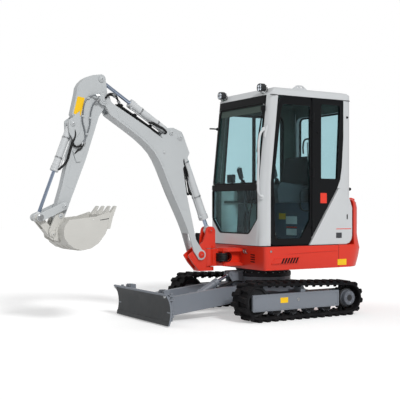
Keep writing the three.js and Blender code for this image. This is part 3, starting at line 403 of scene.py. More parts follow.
LAMP_BLACK = make_finish("lamp_casting", linear(32, 33, 36), 0.42, mottle=0.1, grain=500, relief=0.0002)
REFLECTOR = make_finish("lamp_reflector", linear(205, 208, 212), 0.16, metallic=1.0, mottle=0.03, grain=60)
YELLOW_FILM = make_finish("yellow_film", linear(250, 200, 10), 0.4, mottle=0.03, mottle_scale=12, grain=300)
RED_FILM = make_finish("red_film", linear(232, 58, 38), 0.4, mottle=0.03, mottle_scale=12, grain=300)
WHITE_FILM = make_finish("white_film", linear(226, 230, 230), 0.4, mottle=0.03, mottle_scale=12, grain=300)
DARK_FILM = make_finish("dark_film", linear(60, 62, 66), 0.4, mottle=0.05, mottle_scale=12, grain=300)
KNOB = make_finish("pale_knob", linear(196, 200, 200), 0.35, mottle=0.03, grain=300)
GLASS = make_glass("cab_glass", (0.60, 0.76, 0.79, 1))
LENS = make_glass("lamp_lens", (0.93, 0.95, 0.97, 1), 0.04)


# ------------------------------------------------------------------ bench tools

SAME_SPOT = 0.00002
SAME_SPOT_PACKED = 0.00005
SMOOTH_UNDER = math.radians(40)
TUBE_SMOOTH_UNDER = math.radians(50)


def pick(*objects):
    """Selects only these objects, the first one active."""
    bpy.ops.object.select_all(action="DESELECT")
    for obj in objects:
        obj.select_set(True)
    bpy.context.view_layer.objects.active = objects[0]


def edit(obj, kind="FACE", everything=True):
    """Opens a piece in edit mode."""
    pick(obj)
    bpy.ops.object.mode_set(mode="EDIT")
    bpy.ops.mesh.select_mode(type=kind)
    if everything:
        bpy.ops.mesh.select_all(action="SELECT")


def leave():
    bpy.ops.object.mode_set(mode="OBJECT")


def mark_faces(obj, test):
    """Marks the faces whose centre, in millimetres, and normal pass the test."""
    bpy.context.tool_settings.mesh_select_mode = (False, False, True)
    mesh = obj.data
    mesh.vertices.foreach_set("select", [False] * len(mesh.vertices))
    mesh.edges.foreach_set("select", [False] * len(mesh.edges))
    for face in mesh.polygons:
        face.select = test(from_frame(face.center), face.normal)


def soften(obj, width, segments=2, angle=35):
    """Rounds the hard edges and shades the rest smooth."""
    pick(obj)
    if width:
        bevel = obj.modifiers.new("edge", "BEVEL")
        bevel.width = width * MM
        bevel.segments = segments
        bevel.limit_method = "ANGLE"
        bevel.angle_limit = math.radians(angle)
        bevel.miter_outer = "MITER_ARC"
        bpy.ops.object.modifier_apply(modifier="edge")
    bpy.ops.object.shade_smooth_by_angle(angle=SMOOTH_UNDER)
    weigh = obj.modifiers.new("weigh", "WEIGHTED_NORMAL")
    weigh.keep_sharp = True
    bpy.ops.object.modifier_apply(modifier="weigh")
    return obj


def put(obj, name, finish, body):
    """Names a finished piece, gives it its finish and its body."""
    obj.name = name
    obj.data.name = name
    obj.data.materials.clear()
    obj.data.materials.append(finish)
    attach(obj, body)
    return obj


def rounded(corners, steps=5):
    """Corners (a, b, radius) to an outline whose corners are arcs."""
    points = []
    count = len(corners)
    for i, (a, b, radius) in enumerate(corners):
        corner = Vector((a, b))
        if not radius:
            points.append(corner)
            continue
        before = (Vector(corners[i - 1][:2]) - corner).normalized()
        after = (Vector(corners[(i + 1) % count][:2]) - corner).normalized()
        half = math.acos(max(-1, min(1, before.dot(after)))) / 2
        centre = corner + (before + after).normalized() * radius / math.sin(half)
        start = corner + before * radius / math.tan(half) - centre
        end = corner + after * radius / math.tan(half) - centre
        turn = math.atan2(start.x * end.y - start.y * end.x, start.dot(end))
        for k in range(steps + 1):
            points.append(Matrix.Rotation(turn * k / steps, 2) @ start + centre)
    return points


def rectangle(a0, a1, b0, b1, radius=0):
    return rounded([(a0, b0, radius), (a1, b0, radius), (a1, b1, radius), (a0, b1, radius)])


def sheet_of(points):
    """A flat face on an outline of frame points."""
    bpy.ops.mesh.primitive_circle_add(vertices=len(points), fill_type="NGON")
    obj = bpy.context.object
    for vertex, point in zip(obj.data.vertices, points):
        vertex.co = point
    return obj


def slab(points, thick, edge=0, segments=2):
    """A plate: the outline, pulled out by the vector thick."""
    obj = sheet_of(points)
    edit(obj)
    bpy.ops.mesh.extrude_region_move(TRANSFORM_OT_translate={"value": thick})
    bpy.ops.mesh.select_all(action="SELECT")
    bpy.ops.mesh.normals_make_consistent(inside=False)
    leave()
    return soften(obj, edge, segments)


def side_slab(outline, y0, y1, edge=0):
    return slab([at(p[0], y0, p[1]) for p in outline], Vector((0, (y1 - y0) * MM, 0)), edge)


def front_slab(outline, x0, x1, edge=0, segments=2):
    return slab([at(x0, p[0], p[1]) for p in outline], Vector(((x1 - x0) * MM, 0, 0)), edge, segments)


def plan_slab(outline, z0, z1, edge=0):
    return slab([at(p[0], p[1], z0) for p in outline], Vector((0, 0, (z1 - z0) * MM)), edge)


def frame_of(points, width, thick, edge=0):
    """A flat frame along an outline, as wide as given, pulled out by the vector thick."""
    obj = sheet_of(points)
    edit(obj)
    bpy.ops.mesh.inset(thickness=width * MM, depth=0)
    bpy.ops.mesh.delete(type="FACE")
    bpy.ops.mesh.select_all(action="SELECT")
    bpy.ops.mesh.extrude_region_move(TRANSFORM_OT_translate={"value": thick})
    bpy.ops.mesh.select_all(action="SELECT")
    bpy.ops.mesh.normals_make_consistent(inside=False)
    leave()
    return soften(obj, edge)


def side_frame(outline, width, y0, y1, edge=0):
    return frame_of([at(p[0], y0, p[1]) for p in outline], width, Vector((0, (y1 - y0) * MM, 0)), edge)


def front_frame(outline, width, x0, x1, edge=0):
    return frame_of([at(x0, p[0], p[1]) for p in outline], width, Vector(((x1 - x0) * MM, 0, 0)), edge)


def block(x0, x1, y0, y1, z0, z1, edge=3):
    """A box with its edges rounded."""
    low, high = at(x0, y0, z0), at(x1, y1, z1)
    bpy.ops.mesh.primitive_cube_add(size=1, location=(low + high) / 2, scale=high - low)
    bpy.ops.object.transform_apply(location=True, rotation=False, scale=True)
    return soften(bpy.context.object, edge, 3)


def turned(profile, start, toward, segments=28):
    """A turned piece: profile points (along the axis, radius), in millimetres, spun round it."""
    axis = toward.normalized()
    out = axis.orthogonal().normalized()
    bpy.ops.mesh.primitive_circle_add(vertices=len(profile), fill_type="NOTHING")
    obj = bpy.context.object
    for vertex, (along, radius) in zip(obj.data.vertices, profile):
        vertex.co = start + axis * along * MM + out * radius * MM
    edit(obj, "VERT")
    bpy.ops.mesh.spin(steps=segments, angle=2 * math.pi, center=start, axis=axis)
    bpy.ops.mesh.select_all(action="SELECT")
    bpy.ops.mesh.remove_doubles(threshold=SAME_SPOT)
    bpy.ops.mesh.normals_make_consistent(inside=False)
    leave()
    return soften(obj, 0)


def cross_turned(place, profile, segments=28):
    """A turned piece whose axis lies across the machine: profile points (y, radius)."""
    return turned(profile, at(place[0], 0, place[1]), LEFT, segments)


def tube(points, radius, steps=5, sides=3):
    """A round tube on a smooth curve through the points, in millimetres."""
    bpy.ops.curve.primitive_bezier_curve_add()
    obj = bpy.context.object
    curve = obj.data
    curve.resolution_u = steps
    curve.bevel_depth = radius * MM
    curve.bevel_resolution = sides
    curve.use_fill_caps = True
    spline = curve.splines[0]
    spline.bezier_points.add(len(points) - 2)
    for knot, point in zip(spline.bezier_points, points):
        knot.co = at(*point)
        knot.handle_left_type = knot.handle_right_type = "AUTO"
    pick(obj)
    bpy.ops.object.convert(target="MESH")
    edit(obj, "VERT")
    bpy.ops.mesh.remove_doubles(threshold=SAME_SPOT)
    leave()
    bpy.ops.object.shade_smooth_by_angle(angle=TUBE_SMOOTH_UNDER)
    return obj


def welded(*objects):
    """Several shapes as one piece."""
    pick(*objects)
    bpy.ops.object.join()
    return bpy.context.object


def repeated(obj, places):
    """Copies of one shape, each moved by its matrix, as one piece."""
    copies = []
    for place in places:
        pick(obj)
        bpy.ops.object.duplicate()
        copy = bpy.context.object
        copy.data.transform(place)
        copies.append(copy)
    bpy.data.objects.remove(obj)
    return welded(*copies)


def facing(point, toward, roll=0.0):
    """The matrix that stands a shape made along +Z on a point, facing a direction."""
    turn = Vector(toward).to_track_quat("Z", "Y").to_matrix().to_4x4()
    return Matrix.Translation(point) @ turn @ Matrix.Rotation(roll, 4, "Z")


def bolts(points, toward, radius=9):
    """Hexagon bolts on washers, standing on the points."""
    origin = Vector((0, 0, 0))
    washer = turned([(-1, 0), (-1, radius * 1.5), (1.4, radius * 1.5), (2, radius * 1.4), (2, 0)],
                    origin, UP, 14)
    head = turned([(1.5, 0), (1.5, radius), (0.75 * radius, radius), (0.9 * radius, radius * 0.8),
                   (0.9 * radius, 0)], origin, UP, 6)
    return repeated(welded(washer, head), [facing(p, toward, 0.3 * i) for i, p in enumerate(points)])


def skin(node, finish, edge=3, inner=None, inner_test=None, segments=2):
    """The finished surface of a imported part: its own shape, with rounded edges."""
    source = frame["nodes"][node]
    pick(source)
    bpy.ops.object.duplicate()
    obj = bpy.context.object
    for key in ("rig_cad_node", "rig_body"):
        if key in obj:
            del obj[key]
    obj.parent = None
    obj.matrix_world = Matrix.Identity(4)
    edit(obj, "VERT")
    bpy.ops.mesh.remove_doubles(threshold=SAME_SPOT_PACKED)
    bpy.ops.mesh.dissolve_limited(angle_limit=math.radians(2))
    leave()
    soften(obj, edge, segments)
    put(obj, node + "_skin", finish, BODY_OF[node])
    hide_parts(node)
    if inner:
        obj.data.materials.append(inner)
        for face in obj.data.polygons:
            if inner_test(from_frame(face.center), face.normal):
                face.material_index = 1
    return obj


def refinish(node, finish):
    """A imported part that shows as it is, with a better finish."""
    for holder in frame["nodes"][node].material_slots:
        holder.material = finish


# ------------------------------------------------------------------ tracks and undercarriage

def track_run(inset):
    """Place and outward direction along the belt's loop, by share of its length."""
    lean = 2 * math.atan2(IDLER[1] - SPROCKET[1], IDLER[0] - SPROCKET[0])
    front = (IDLER[0], IDLER[1], IDLER[2] - inset)
    rear = (SPROCKET[0], SPROCKET[1], SPROCKET[2] - inset)
    run = math.hypot(front[0] - rear[0], front[1] - rear[1])
    parts = [run, rear[2] * (math.pi + lean), run, front[2] * (math.pi - lean)]
    total = sum(parts)

    def rim(wheel, angle):
        return Vector((wheel[0] + wheel[2] * math.cos(angle), wheel[1] + wheel[2] * math.sin(angle))), angle

    def place(share):
        rest = (share % 1) * total
        top = math.pi / 2 + lean
        if rest < parts[0]:
            return rim(front, top)[0].lerp(rim(rear, top)[0], rest / parts[0]), top
        rest -= parts[0]
        if rest < parts[1]:
            return rim(rear, top + rest / rear[2])
        rest -= parts[1]
        if rest < parts[2]:
            return rim(rear, -math.pi / 2)[0].lerp(rim(front, -math.pi / 2)[0], rest / parts[2]), -math.pi / 2
        rest -= parts[2]
        return rim(front, -math.pi / 2 + rest / front[2])

    return place


def lug_matrix(place, share, y):
    """The place of a lug on the belt's loop, its top outwards."""
    point, angle = place(share)
    out = Vector((math.cos(angle), 0, math.sin(angle)))
    turn = Matrix((LEFT.cross(out), LEFT, out)).transposed().to_4x4()
    return Matrix.Translation(at(point.x, y, point.y)) @ turn


def tread_lug(length, width, height, slant):
    """One rubber lug on the belt, narrower at its top, with a sunk middle."""
    size = Vector((length, width, height)) * MM
    bpy.ops.mesh.primitive_cube_add(size=1, location=(0, 0, size.z / 2 - 0.001), scale=size)
    bpy.ops.object.transform_apply(location=True, rotation=False, scale=True)
    obj = bpy.context.object
    mark_faces(obj, lambda centre, normal: normal.z > 0.9)
    edit(obj, everything=False)
    bpy.ops.transform.resize(value=(0.62, 0.93, 1), center_override=(0, 0, size.z))
    bpy.ops.mesh.inset(thickness=0.007, depth=-0.0025)
    leave()
    for vertex in obj.data.vertices:
        vertex.co.x += vertex.co.y * slant
    return soften(obj, 2.5, 2)


def make_track(side, sign):
    root = track_run(LUG)
    loop = [root(k / (3 * LUG_COUNT))[0] for k in range(3 * LUG_COUNT)]
    bpy.ops.mesh.primitive_circle_add(vertices=len(loop), fill_type="NOTHING")
    belt = bpy.context.object
    for vertex, point in zip(belt.data.vertices, loop):
        vertex.co = at(point.x, sign * BELT_EDGE, point.y)
    edit(belt, "EDGE")
    bpy.ops.mesh.extrude_edges_move(TRANSFORM_OT_translate={"value": (0, sign * BELT_WIDTH * MM, 0)})
    bpy.ops.mesh.select_all(action="SELECT")
    bpy.ops.mesh.normals_make_consistent(inside=False)
    leave()
    pick(belt)
    wall = belt.modifiers.new("wall", "SOLIDIFY")
    wall.thickness = BELT * MM
    wall.offset = -1
    bpy.ops.object.modifier_apply(modifier="wall")
    soften(belt, 5, 3, 60)

    def row(lug, run, y, shift, turn=Matrix.Identity(4)):
        return repeated(lug, [lug_matrix(run, (k + shift) / LUG_COUNT, sign * y) @ turn
                              for k in range(LUG_COUNT)])

    outer = row(tread_lug(58, 132, 25, 0.12 * sign), root, 684, 0.5)
    inner = row(tread_lug(58, 130, 25, -0.12 * sign), root, 566, 0)
    bridge = repeated(tread_lug(34, 40, 13, 0),
                      [lug_matrix(root, (k + 0.25) / LUG_COUNT, sign * 625) for k in range(0, 2 * LUG_COUNT, 2)])
    inside = track_run(LUG + BELT)
    turn_over = Matrix.Rotation(math.pi, 4, "Y")
    guides = [row(tread_lug(44, 12, 22, 0), inside, y, 0.5, turn_over) for y in (572, 679)]
    track = welded(belt, outer, inner, bridge, *guides)
    put(track, f"track_{side}_rubber", RUBBER, "undercarriage")
    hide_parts(f"track_{side}")


def make_idler(side, sign):
    near = sign * 564.3
    profile = [(0, 0), (0, 44), (3, 47), (15, 48), (16, 66), (30, 78), (30, 118), (17, 128), (16, 146),
               (20, 151), (38, 152), (40, 146), (82, 146), (84, 152), (102, 152), (106, 146), (105, 128),
               (92, 118), (92, 78), (106, 66), (107, 48), (126, 47), (129, 44), (129, 0)]
    wheel = turned(profile, at(IDLER[0], near, IDLER[1]), Vector((0, sign, 0)), 40)
    put(wheel, f"idler_{side}_wheel", IRON, "undercarriage")
    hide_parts(f"idler_{side}")


def make_final_drive(side, sign):
    skin(f"sprocket_{side}", IRON, 2)
    near = at(SPROCKET[0], sign * 676, SPROCKET[1])
    cover = turned([(0, 0), (0, 84), (8, 86), (16, 84), (18, 77), (56, 76), (61, 72), (61, 34), (58, 31),
                    (58, 0)], near, Vector((0, sign, 0)), 40)
    put(cover, f"final_drive_cover_{side}", DRIVE_GREY, "undercarriage")
    points = [at(SPROCKET[0] + 54 * math.cos(a), sign * 737, SPROCKET[1] + 54 * math.sin(a))
              for a in (math.radians(60 * k + 20) for k in range(6))]
    put(bolts(points, (0, sign, 0), 6), f"final_drive_bolts_{side}", GREY, "undercarriage")


def make_undercarriage():
    skin("car_body", GREY, 4)
    skin("slew_ring", IRON, 3)
    seat = turned([(0, 0), (0, 300), (6, 304), (40, 304), (44, 300), (44, 288), (62, 286), (64, 296),
                   (80, 296), (82, 290), (82, 0)], at(0, 0, 396), UP, 64)
    put(seat, "slew_ring_rims", IRON, "undercarriage")
    ring = [at(292 * math.cos(a), 292 * math.sin(a), 440) for a in (2 * math.pi * k / 24 for k in range(24))]
    put(bolts(ring, (0, 0, 1), 7), "slew_ring_bolts", STEEL, "undercarriage")
    for side, sign in SIDES:
        make_track(side, sign)
        make_idler(side, sign)
        make_final_drive(side, sign)
        skin(f"track_frame_{side}", GREY, 4)
        rim = rectangle(-446, 638, 116, 262, 10)
        rib = side_frame(rim, 10, sign * PANEL_FACE, sign * (PANEL_FACE + 4), 1)
        put(rib, f"track_panel_rib_{side}", GREY, "undercarriage")
        plug = turned([(0, 0), (0, 17), (3, 17), (5, 14), (5, 7), (3, 5), (3, 0)],
                      at(80, sign * (PANEL_FACE + 0.5), 204), Vector((0, sign, 0)), 18)
        put(plug, f"grease_plug_{side}", STEEL, "undercarriage")
        label = side_slab(rectangle(213, 309, 178, 232, 5), sign * (PANEL_FACE + 0.6),
                          sign * (PANEL_FACE + 2), 0.4)
        put(label, f"track_panel_label_{side}", YELLOW_FILM, "undercarriage")
        nuts = [at(x, sign * (PANEL_FACE + 0.8), z) for x in (-420, 612) for z in (132, 246)]
        put(bolts(nuts, (0, sign, 0), 7), f"track_panel_bolts_{side}", GREY, "undercarriage")
        caps = []
        for x in (-330, -110, 110, 320):
            caps.append(cross_turned((x, 104), [(sign * 670, 0), (sign * 670, 54), (sign * 674, 50),
                                                (sign * 674, 30), (sign * 682, 26), (sign * 682, 0)], 24))
        put(welded(*caps), f"roller_caps_{side}", IRON, "undercarriage")
    hoses = [tube([(300, y * 3, 335), (380, y * 2.4, 350), (470, 62 + y, 340), (560, 70 + y * 0.6, 306),
                   (640, 62 + y * 0.5, 290)], 8) for y in (-26, 0, 26)]
    put(welded(*hoses), "blade_ram_hoses", HOSE, "blade")


# ------------------------------------------------------------------ blade

# The mouldboard's forward-facing faces, which take the darker grey of painted shade.
def on_blade_shaded_front(centre, normal):
    return centre[0] > 1460 and centre[2] < 306 and normal.x > 0.3


def make_blade():
    skin("blade", GREY, 3, BLADE_FRONT_SHADE, on_blade_shaded_front)
    lip = side_slab(rounded([(1512, 296, 6), (1541, 300, 6), (1543, 318, 8), (1518, 320, 8)]), -548, 548, 2)
    put(lip, "blade_top_lip", GREY, "blade")
    # The cutting edge takes the same painted shade as the blade's front.
    cutting = side_slab([(1498, 13), (1507.5, 12), (1501.5, 52), (1494, 52)], -549, 549, 1)
    put(cutting, "blade_cutting_edge", BLADE_FRONT_SHADE, "blade")
    eyes = [turned([(0, 9), (0, 17), (8, 17), (8, 9)], at(1528, sign * 525, 296), Vector((1, 0, -0.1)), 20)
            for sign in (1, -1)]
    put(welded(*eyes), "blade_extension_eyes", WHITE, "blade")
    for side, sign in SIDES:
        pin = turned([(0, 0), (0, 13), (4, 15), (10, 15), (12, 11), (262, 11), (266, 7), (266, 0)],
                     at(1452, sign * 520, 318), Vector((0, 0, -1)), 18)
        leaf = rounded([(1430, sign * 488, 4), (1484, sign * 488, 0), (1484, sign * 545, 0),
                        (1430, sign * 545, 14)])
        leaves = [plan_slab(leaf, z, z + 14, 2) for z in (290, 250, 130, 90)]
        put(welded(pin, *leaves), f"blade_extension_hinge_{side}", GREY, "blade")
        wing = front_slab(rounded([(sign * 296, 244, 4), (sign * 404, 244, 4), (sign * 404, 334, 16),
                                   (sign * 296, 334, 16)]), 1462, 1470, 2)
        put(wing, f"blade_wing_plate_{side}", GREY, "blade")
        put(bolts([at(1471, sign * y, z) for y in (320, 380) for z in (262, 316)], (1, 0, 0), 7),
            f"blade_wing_bolts_{side}", STEEL, "blade")
        profile = [(240, 0), (240, 46), (245, 44), (246, 30), (254, 27), (256, 24), (256, 0)]
        cap = cross_turned(BLADE_PIVOT, [(sign * y, radius) for y, radius in profile])
        put(cap, f"blade_pivot_cap_{side}", GREY, "blade")
    gusset = [(1300, 150), (1428, 96), (1428, 210), (1320, 196)]
    gussets = [side_slab(gusset, y, y + 10, 2) for y in (-243.2, 243.2)]
    put(welded(*gussets), "blade_gussets", GREY, "blade")


# ------------------------------------------------------------------ rams

def ram_axis(ram):
    """A ram's foot, direction and length from pin to pin, in millimetres."""
    base = Vector((ram["base"][0], 0, ram["base"][1]))
    eye = Vector((ram["eye"][0], 0, ram["eye"][1]))
    return base, (eye - base).normalized(), (eye - base).length


def make_ram(name, ram, finish, port_side):
    """Barrel with its weld rings, gland, ports and pipe; rod with its eye."""
    base, axis, length = ram_axis(ram)
    start = at(base.x, 0, base.z)
    wall, end = ram["wall"], ram["barrel"]
    neck = ram["eye_r"] * 0.82
    rod_r = ram["rod_r"]
    profile = [(neck, 0), (neck, wall * 0.72), (neck + 10, wall * 0.9), (neck + 20, wall),
               (neck + 24, wall + 2), (neck + 30, wall + 2), (neck + 34, wall), (end - 76, wall),
               (end - 72, wall + 3), (end - 62, wall + 3), (end - 58, wall), (end - 50, wall),
               (end - 48, wall + 6), (end - 30, wall + 6), (end - 29, wall + 3.5), (end - 25, wall + 3.5),
               (end - 24, wall + 6), (end - 4, wall + 6), (end, wall + 2), (end, rod_r + 5),
               (end - 3, rod_r + 3), (end - 3, rod_r + 1), (end - 20, rod_r + 1), (end - 20, 0)]
    barrel = turned(profile, start, axis, 36)
    half, eye_r = ram["half"], ram["eye_r"]
    eye = cross_turned(ram["base"], [(-half, 0), (-half, eye_r - 3), (3 - half, eye_r), (half - 3, eye_r),
                                     (half, eye_r - 3), (half, 0)], 30)
    side = axis.cross(LEFT).normalized() * port_side
    reach = Vector((side.x, 0.55, side.z)).normalized()
    near_port, far_port = neck + 46, end - 36
    ports = [turned([(wall - 4, 0), (wall - 4, 15), (wall + 8, 15), (wall + 10, 13), (wall + 10, 10),
                     (wall + 20, 10), (wall + 20, 0)], at(*(base + axis * along)), reach, 6)
             for along in (near_port, far_port)]
    pipe = tube([base + axis * (near_port + (far_port - near_port) * part) + reach * (wall + lift)
                 for part, lift in ((0, 20), (0.06, 13), (0.5, 13), (0.94, 13), (1, 20))], 5.5)
    piece = welded(barrel, eye, *ports)
    put(piece, f"{name}_ram_barrel", finish, f"{name}_barrel")
    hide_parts(f"{name}_cylinder_barrel")
    put(pipe, f"{name}_ram_pipe", finish, f"{name}_barrel")
    clips = [turned([(-7, wall - 1), (-7, wall + 2.5), (7, wall + 2.5), (7, wall - 1)],
                    at(*(base + axis * end * part)), axis, 30) for part in (0.3, 0.72)]
    put(welded(*clips), f"{name}_ram_clamps", STEEL if name != "blade" else GREY, f"{name}_barrel")
    foot, tip = length - ram["rod"], length - ram["rod_eye_r"] * 0.8
    rod = turned([(foot, 0), (foot, rod_r), (tip, rod_r), (tip, 0)], start, axis, 32)
    put(rod, f"{name}_ram_rod", CHROME, f"{name}_rod")
    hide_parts(f"{name}_cylinder_rod")
    half, eye_r = ram["eye_half"], ram["rod_eye_r"]
    low, mid, high = length - eye_r - 16, length - eye_r - 4, length - eye_r * 0.4
    collar = turned([(low, rod_r - 1), (low, rod_r + 5), (mid, rod_r + 8), (high, rod_r + 8),
                     (high, rod_r - 1)], start, axis, 28)
    head = cross_turned(ram["eye"], [(-half, 0), (-half, eye_r - 3), (3 - half, eye_r), (half - 3, eye_r),
                                     (half, eye_r - 3), (half, 0)], 30)
    put(welded(head, collar), f"{name}_ram_rod_end", finish, f"{name}_rod")


def pin_caps(name, place, reach, radius, finish, body):
    """Both ends of a pin: a flanged cap with a grease nipple."""
    caps = []
    for sign in (1, -1):
        caps.append(cross_turned(place, [(sign * (reach - 6), 0), (sign * (reach - 6), radius * 1.55),
                                         (sign * (reach - 1), radius * 1.55), (sign * reach, radius * 1.45),
                                         (sign * reach, radius * 1.02), (sign * (reach + 5), radius),
                                         (sign * (reach + 7), radius * 0.8), (sign * (reach + 7), 0)], 26))
    put(welded(*caps), name, finish, body)
    nipple = [(-1, 0), (-1, 6), (4, 6), (5, 3.5), (10, 3.5), (12, 2), (12, 0)]
    nipples = [turned(nipple, at(place[0], sign * (reach + 7), place[1]), Vector((0, sign, 0)), 12)
               for sign in (1, -1)]
    put(welded(*nipples), f"{name}_grease_nipples", STEEL, body)


# ------------------------------------------------------------------ boom, arm and bucket

def offset_along(points, distance):
    """Points moved square to their line, to its left."""
    moved = []
    for i, point in enumerate(points):
        before = Vector(points[max(i - 1, 0)])
        after = Vector(points[min(i + 1, len(points) - 1)])
        way = (after - before).normalized()
        moved.append((point[0] - way.y * distance, point[1] + way.x * distance))
    return moved


BOOM_TOP = [(988, 1110), (1010, 1230), (1046, 1430), (1072, 1560), (1130, 1680), (1225, 1782), (1357, 1858),
            (1456, 1922), (1636, 2024), (1800, 2110)]
BOOM_UNDER = [(1800, 1985), (1768, 1959), (1640, 1880), (1523, 1800), (1414, 1706), (1343, 1608),
              (1277, 1476), (1198, 1300), (1105, 1110)]


def smooth_line(points, parts=4):
    """A Catmull-Rom curve through the points."""
    out = []
    for i in range(len(points) - 1):
        p0, p1 = Vector(points[max(i - 1, 0)]), Vector(points[i])
        p2, p3 = Vector(points[i + 1]), Vector(points[min(i + 2, len(points) - 1)])
        for k in range(parts):
            t = k / parts
            out.append(0.5 * (2 * p1 + (p2 - p0) * t + (2 * p0 - 5 * p1 + 4 * p2 - p3) * t ** 2
                              + (3 * p1 - p0 - 3 * p2 + p3) * t ** 3))
    out.append(Vector(points[-1]))
    return out


def make_boom():
    skin("boom", BOOM_WHITE, 4)
    top = offset_along(smooth_line(BOOM_TOP, 3), -26)
    under = offset_along(smooth_line(BOOM_UNDER, 3), -22)
    for side, sign in SIDES:
        plate = side_slab([*top, *under], sign * 77, sign * 80, 1.4)
        put(plate, f"boom_side_plate_{side}", BOOM_WHITE, "boom")
    pin_caps("boom_head_pin", ARM_PIVOT, 88, 28, BOOM_WHITE, "boom")
    pin_caps("boom_ram_pin", BOOM_RAM["base"], 84, 22, BOOM_WHITE, "boom")
    pin_caps("arm_ram_pin", ARM_RAM["base"], 84, 20, BOOM_WHITE, "boom")
    bosses = []
    for place, radius in ((ARM_PIVOT, 58), (BOOM_FOOT, 50)):
        for sign in (1, -1):
            bosses.append(cross_turned(place, [(sign * 76, 0), (sign * 76, radius), (sign * 80, radius - 1),
                                               (sign * 82, radius - 6), (sign * 82, 0)], 34))
    put(welded(*bosses[:2]), "boom_head_bosses", BOOM_WHITE, "boom")
    put(welded(*bosses[2:]), "boom_foot_bosses", BOOM_WHITE, "boom")
    line = [(1330, 1862), (1457, 1940), (1597, 2022), (1700, 2080), (1775, 2124)]
    hoses = [tube([(x, y, z + 12 + lift) for x, z in line], 9.5)
             for y, lift in ((-48, 0), (-24, 9), (0, 2), (24, 10), (48, 1))]
    put(welded(*hoses), "boom_top_hoses", HOSE, "boom")
    clamps = []
    for (x, z), lean in (((1440, 1930), 0.56), ((1610, 2030), 0.54), ((1760, 2116), 0.52)):
        clamp = block(-16, 16, -66, 66, 0, 34, 5)
        clamp.data.transform(Matrix.Translation(at(x, 0, z - 4)) @ Matrix.Rotation(-lean, 4, "Y")
                             @ Matrix.Translation(-at(0, 0, 0)))
        clamps.append(clamp)
    put(welded(*clamps), "boom_hose_clamps", BLACK, "boom")
    over = []
    for k, y in enumerate((101, 119)):
        over.append(tube([(1772, 62, 2140), (1800, 84, 2172), (1850, y, 2206 + 14 * k),
                          (1905, y, 2214 + 12 * k), (1934, y, 2198 + 6 * k), (1941, y - 4, 2182)], 8.5))
    put(welded(*over), "boom_head_hoses", HOSE, "boom")
    slack = []
    for y, sag in ((62, 0), (82, 16)):
        slack.append(tube([(1452, y, 1975), (1410, y + 8, 1978 - sag), (1350, y + 12, 1952 - sag),
                           (1290, y + 8, 1926 - sag), (1262, y, 1900 - sag), (1290, y - 4, 1874)], 9, 6))
    put(welded(*slack), "arm_ram_hoses", HOSE, "boom")
    union = [(-16, 0), (-16, 12), (-4, 12), (-3, 14.5), (7, 14.5), (8, 12), (16, 12), (16, 0)]
    fittings = [turned(union, at(*place), Vector(way), 6) for place, way in (
        ((1790, 78, 2160), (0.75, 0.25, 0.4)), ((1846, 101, 2204), (0.75, 0, 0.4)),
        ((1862, 119, 2222), (0.75, 0, 0.2)),
    )]
    put(welded(*fittings), "boom_head_fittings", STEEL, "boom")
    drop = []
    for y, swell in ((44, 0), (24, 14), (-24, 14), (-44, 0)):
        drop.append(tube([(1100, y, 1640), (1056, y, 1600), (1012 - swell, y, 1520), (996 - swell, y, 1430),
                          (982 - swell, y, 1340), (958, y * 0.9, 1290), (936, y * 0.8, 1262)], 8.5, 6))
    put(welded(*drop), "boom_ram_hoses", HOSE, "boom_barrel")
    put(block(974, 1004, -56, 56, 1436, 1456, 4), "boom_hose_clips", STEEL, "boom_barrel")
    loops = [tube(line, 9, 6) for line in (
        [(1062, 50, 1652), (1058, 62, 1600), (1046, 66, 1540), (1026, 60, 1480), (1000, 52, 1440)],
        [(1040, 56, 1660), (1052, 72, 1618), (1040, 76, 1560), (1010, 66, 1500), (992, 56, 1452)],
    )]
    put(welded(*loops), "boom_ram_hose_loops", HOSE, "boom_barrel")
    stop = turned([(0, 0), (0, 16), (6, 15), (8, 12), (8, 0)], at(1282, 79, 1690), LEFT, 20)
    put(stop, "boom_plug", BOOM_WHITE, "boom")


